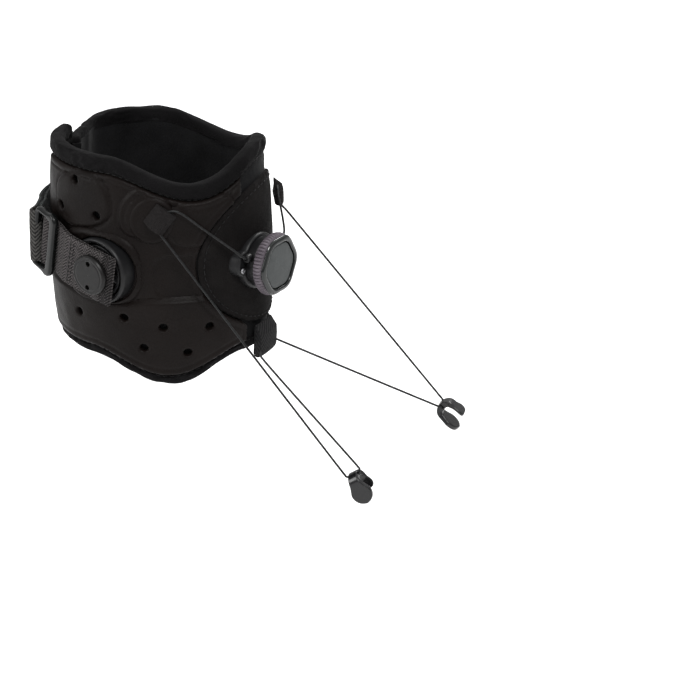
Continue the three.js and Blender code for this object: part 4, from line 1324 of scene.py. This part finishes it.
def grip_shape(r, h, turn):
    if r < 13.5:
        return r, h
    x = (h - KNOB_LOW) / (GRIP_TOP - KNOB_LOW)
    deep = math.sin(math.pi * min(1, max(0, 0.08 + 0.9 * x))) ** 0.6
    ridge = deep * abs(math.cos(RIDGES * turn / 2)) ** 0.8
    swell = 0.14 * math.sin(math.pi * min(1, max(0, x)))
    six = 0.18 * math.cos(6 * turn) * x
    return r - 1 + ridge + swell + six, h


grip_rubber = mottled("grip rubber", (220, 4, (0.3, (0.052, 0.043, 0.052)), (0.75, (0.098, 0.083, 0.096))),
                      (500, 3, 0.45, 0.65), (3000, 2, 0.00008, 0.4), 0.25)


core = turned_piece("knob_core_moulding", dial_matrix, [
    (2.3, KNOB_LOW), (12.2, KNOB_LOW), (12.2, 12.2), (2.3, 12.0)], black_plastic, edge=0.3)
place_piece(core, "knob", "black_plastic", "knob_core")
grip = turned_piece("ridged_grip", dial_matrix, [
    (12.4, KNOB_LOW), (14.4, KNOB_LOW), (14.9, 8.4), (15.0, 10.0), (14.9, 11.6), (14.3, GRIP_TOP),
    (12.4, GRIP_TOP)], grip_rubber, edge=0.25, steps=RIDGES * 10, shape=grip_shape, sharp=60)
place_piece(grip, "knob", "grip_rubber", "knob_grip")


def six_sided(r, h, turn):
    return r * (1 + 0.033 * math.cos(6 * turn)), h


bezel = turned_piece("knob_bezel_ring", dial_matrix, [
    (11.3, 12.75), (14.0, 12.75), (14.3, 13.2), (13.6, 14.1), (12.2, 14.45), (11.4, 14.1)],
    gloss_plastic("bezel gloss", (0.0045, 0.006, 0.0055), (0.05, 0.16), 0.05), edge=0.3, steps=144,
    shape=six_sided)
place_piece(bezel, "knob", "gloss_plastic", "knob_bezel")
cap_plastic = satin_plastic("cap face", (0.034, 0.038, 0.038), (0.35, 0.5), 0.35)
face_cap = turned_solid("knob_cap_disc", dial_matrix, [
    (10.9, 12.95), (11.0, 13.4), (10.6, 13.75), (5.5, 13.95)], cap_plastic, edge=0.25, steps=144,
    shape=six_sided)
place_piece(face_cap, "knob", "cap_plastic", "knob_cap")

# ---- Lace guides ----
# Each upper guide is a short length of smooth webbing folded over the lace and sewn into the shell.
# The lower loop at the front is ribbed webbing. The lace turns inside each fold.
guide_webbing = webbing_material("guide webbing", (0.004, 0.0034, 0.0034), (0.013, 0.0112, 0.0112), 0.0009,
                                 0.012)
guide_oval = oval_outline(10.0, 11.4, 60)


def guide_patch_height(places):
    depth = depth_inside(places, guide_oval)
    return SHELL_THICKNESS + 0.35 + 0.75 * step(depth - 0.8, 1.8) - 0.3 * line_of(depth - 3.2, 1.2)


def on_guide_patch(u, v, h):
    a = math.radians(-20)
    x, y = u * math.cos(a) - v * math.sin(a), u * math.sin(a) + v * math.cos(a)
    return on_cuff(10.5 + x / SIDE_ARC, 85.4 + y, h)


guide_patch = sheet_mesh("guide_oval_patch", guide_oval, [], 1.1, guide_patch_height, level(2.0),
                         on_guide_patch, shell_skin, edge=0.8)
place_piece(guide_patch, "cuff", "shell_skin", "outer_guide_patch")


def folded_guide(name, turn, z, slant, width, length, low, high, material, stands_for, tail):
    """A webbing fold lying on the cuff. Its crease is on the side that the lace pulls towards."""
    lean = math.radians(slant)
    ways = 1 if slant <= 0 else -1
    mid, half = (low + high) / 2, (high - low) / 2
    crease = []
    for k in range(13):
        a = math.radians(90 - 180 * k / 12)
        crease.append((width / 2 - half + half * math.cos(a), mid + half * math.sin(a)))
    outline = [(-width / 2 - tail, low + 0.35), (-width / 2 - tail * 0.3, low + 1.4),
               (-width / 4, high - 0.35), (0, high)] + crease + [(0, low), (-width / 2, low)]
    runs = [0.0]
    for here, there in zip(outline, outline[1:]):
        runs.append(runs[-1] + math.dist(here, there))
    rows = 12
    rings, uvs = [], []
    for i in range(rows + 1):
        y = length * (i / rows - 0.5)
        pull = 0.075 * math.cos(2 * math.pi * i / rows)
        sag = 0.25 * abs(2 * i / rows - 1) ** 8
        ring = []
        for (x, h), run in zip(outline, runs):
            u = ways * (x + pull)
            across, up = u * math.cos(lean) - y * math.sin(lean), u * math.sin(lean) + y * math.cos(lean)
            ring.append(on_cuff(turn + across / SIDE_ARC, z + up, h - sag))
            uvs.append((run * MM, length * i / rows * MM))
        rings.append(ring)
    points, faces = loft(rings)
    made = link_mesh(name, [p * MM for p in points], faces, material, uvs, sharp=50)
    face_out(made)
    soft = made.modifiers.new("soft edges", "BEVEL")
    soft.width = 0.0004
    soft.segments = 3
    soft.limit_method = "ANGLE"
    soft.angle_limit = math.radians(50)
    return place_piece(made, "cuff", "webbing", stands_for)


folded_guide("outer_lace_guide", 15.5, 86.5, -36, 8.4, 10.8, 3.7, 8.1, guide_webbing, "outer_guide", tail=1.8)
folded_guide("inner_lace_guide", 106, 81.5, 36, 8.4, 10.8, 3.7, 8.1, guide_webbing, "inner_guide", tail=1.8)
ribbed = webbing_material("ribbed webbing", (0.003, 0.003, 0.0032), (0.015, 0.0145, 0.015), 0.0022, 0.5)
folded_guide("front_lace_loop", 78, 15.5, -90, 16.0, 17.0, 2.4, 7.0, ribbed, "front_loop", tail=1.0)

# ---- Studio ----
# A white floor at the height of the ground under the shoe, with soft lights above and to the sides.
floor_height = -0.114
floor_mesh = bpy.data.meshes.new("floor")
reach = 4.0
floor_mesh.from_pydata([(-reach, -reach, floor_height), (reach, -reach, floor_height),
                        (reach, reach, floor_height), (-reach, reach, floor_height)], [], [(0, 1, 2, 3)])
floor_paint, tree, shader = new_material("floor paint")
tint(tree, shader, noise_value(tree, 3, 2), (0.3, (0.88, 0.88, 0.88)), (0.7, (0.92, 0.92, 0.92)))
set_inputs(shader, Roughness=0.9)
floor_mesh.materials.append(floor_paint)
floor = bpy.data.objects.new("floor", floor_mesh)
bpy.context.scene.collection.objects.link(floor)

world = bpy.data.worlds.new("studio")
bpy.context.scene.world = world
world.use_nodes = True
sky = world.node_tree
facing = node(sky, "ShaderNodeTexCoord")
up = node(sky, "ShaderNodeSeparateXYZ")
sky.links.new(facing.outputs["Generated"], up.inputs["Vector"])
shade = ramp(sky, up.outputs["Z"], [(0.0, (0.30, 0.30, 0.31)), (0.35, (0.62, 0.62, 0.62)), (0.8, (1, 1, 1))])
sky.links.new(shade, sky.nodes["Background"].inputs["Color"])
sky.nodes["Background"].inputs["Strength"].default_value = 1.15


def soft_light(name, place, aim, size, power):
    data = bpy.data.lights.new(name, "AREA")
    data.shape = "DISK"
    data.size = size
    data.energy = power
    lamp = bpy.data.objects.new(name, data)
    lamp.location = place
    lamp.rotation_euler = (Vector(aim) - Vector(place)).to_track_quat("-Z", "Y").to_euler()
    bpy.context.scene.collection.objects.link(lamp)


for name, place, size, power in (("key", (0.5, -0.75, 1.1), 0.5, 14), ("side", (-0.9, -0.6, 0.5), 0.6, 8),
                                 ("rim", (0.3, 0.9, 0.9), 0.5, 9)):
    soft_light(name, place, (0.02, 0, 0.05), size, power)
bpy.context.scene.view_settings.view_transform = "Standard"
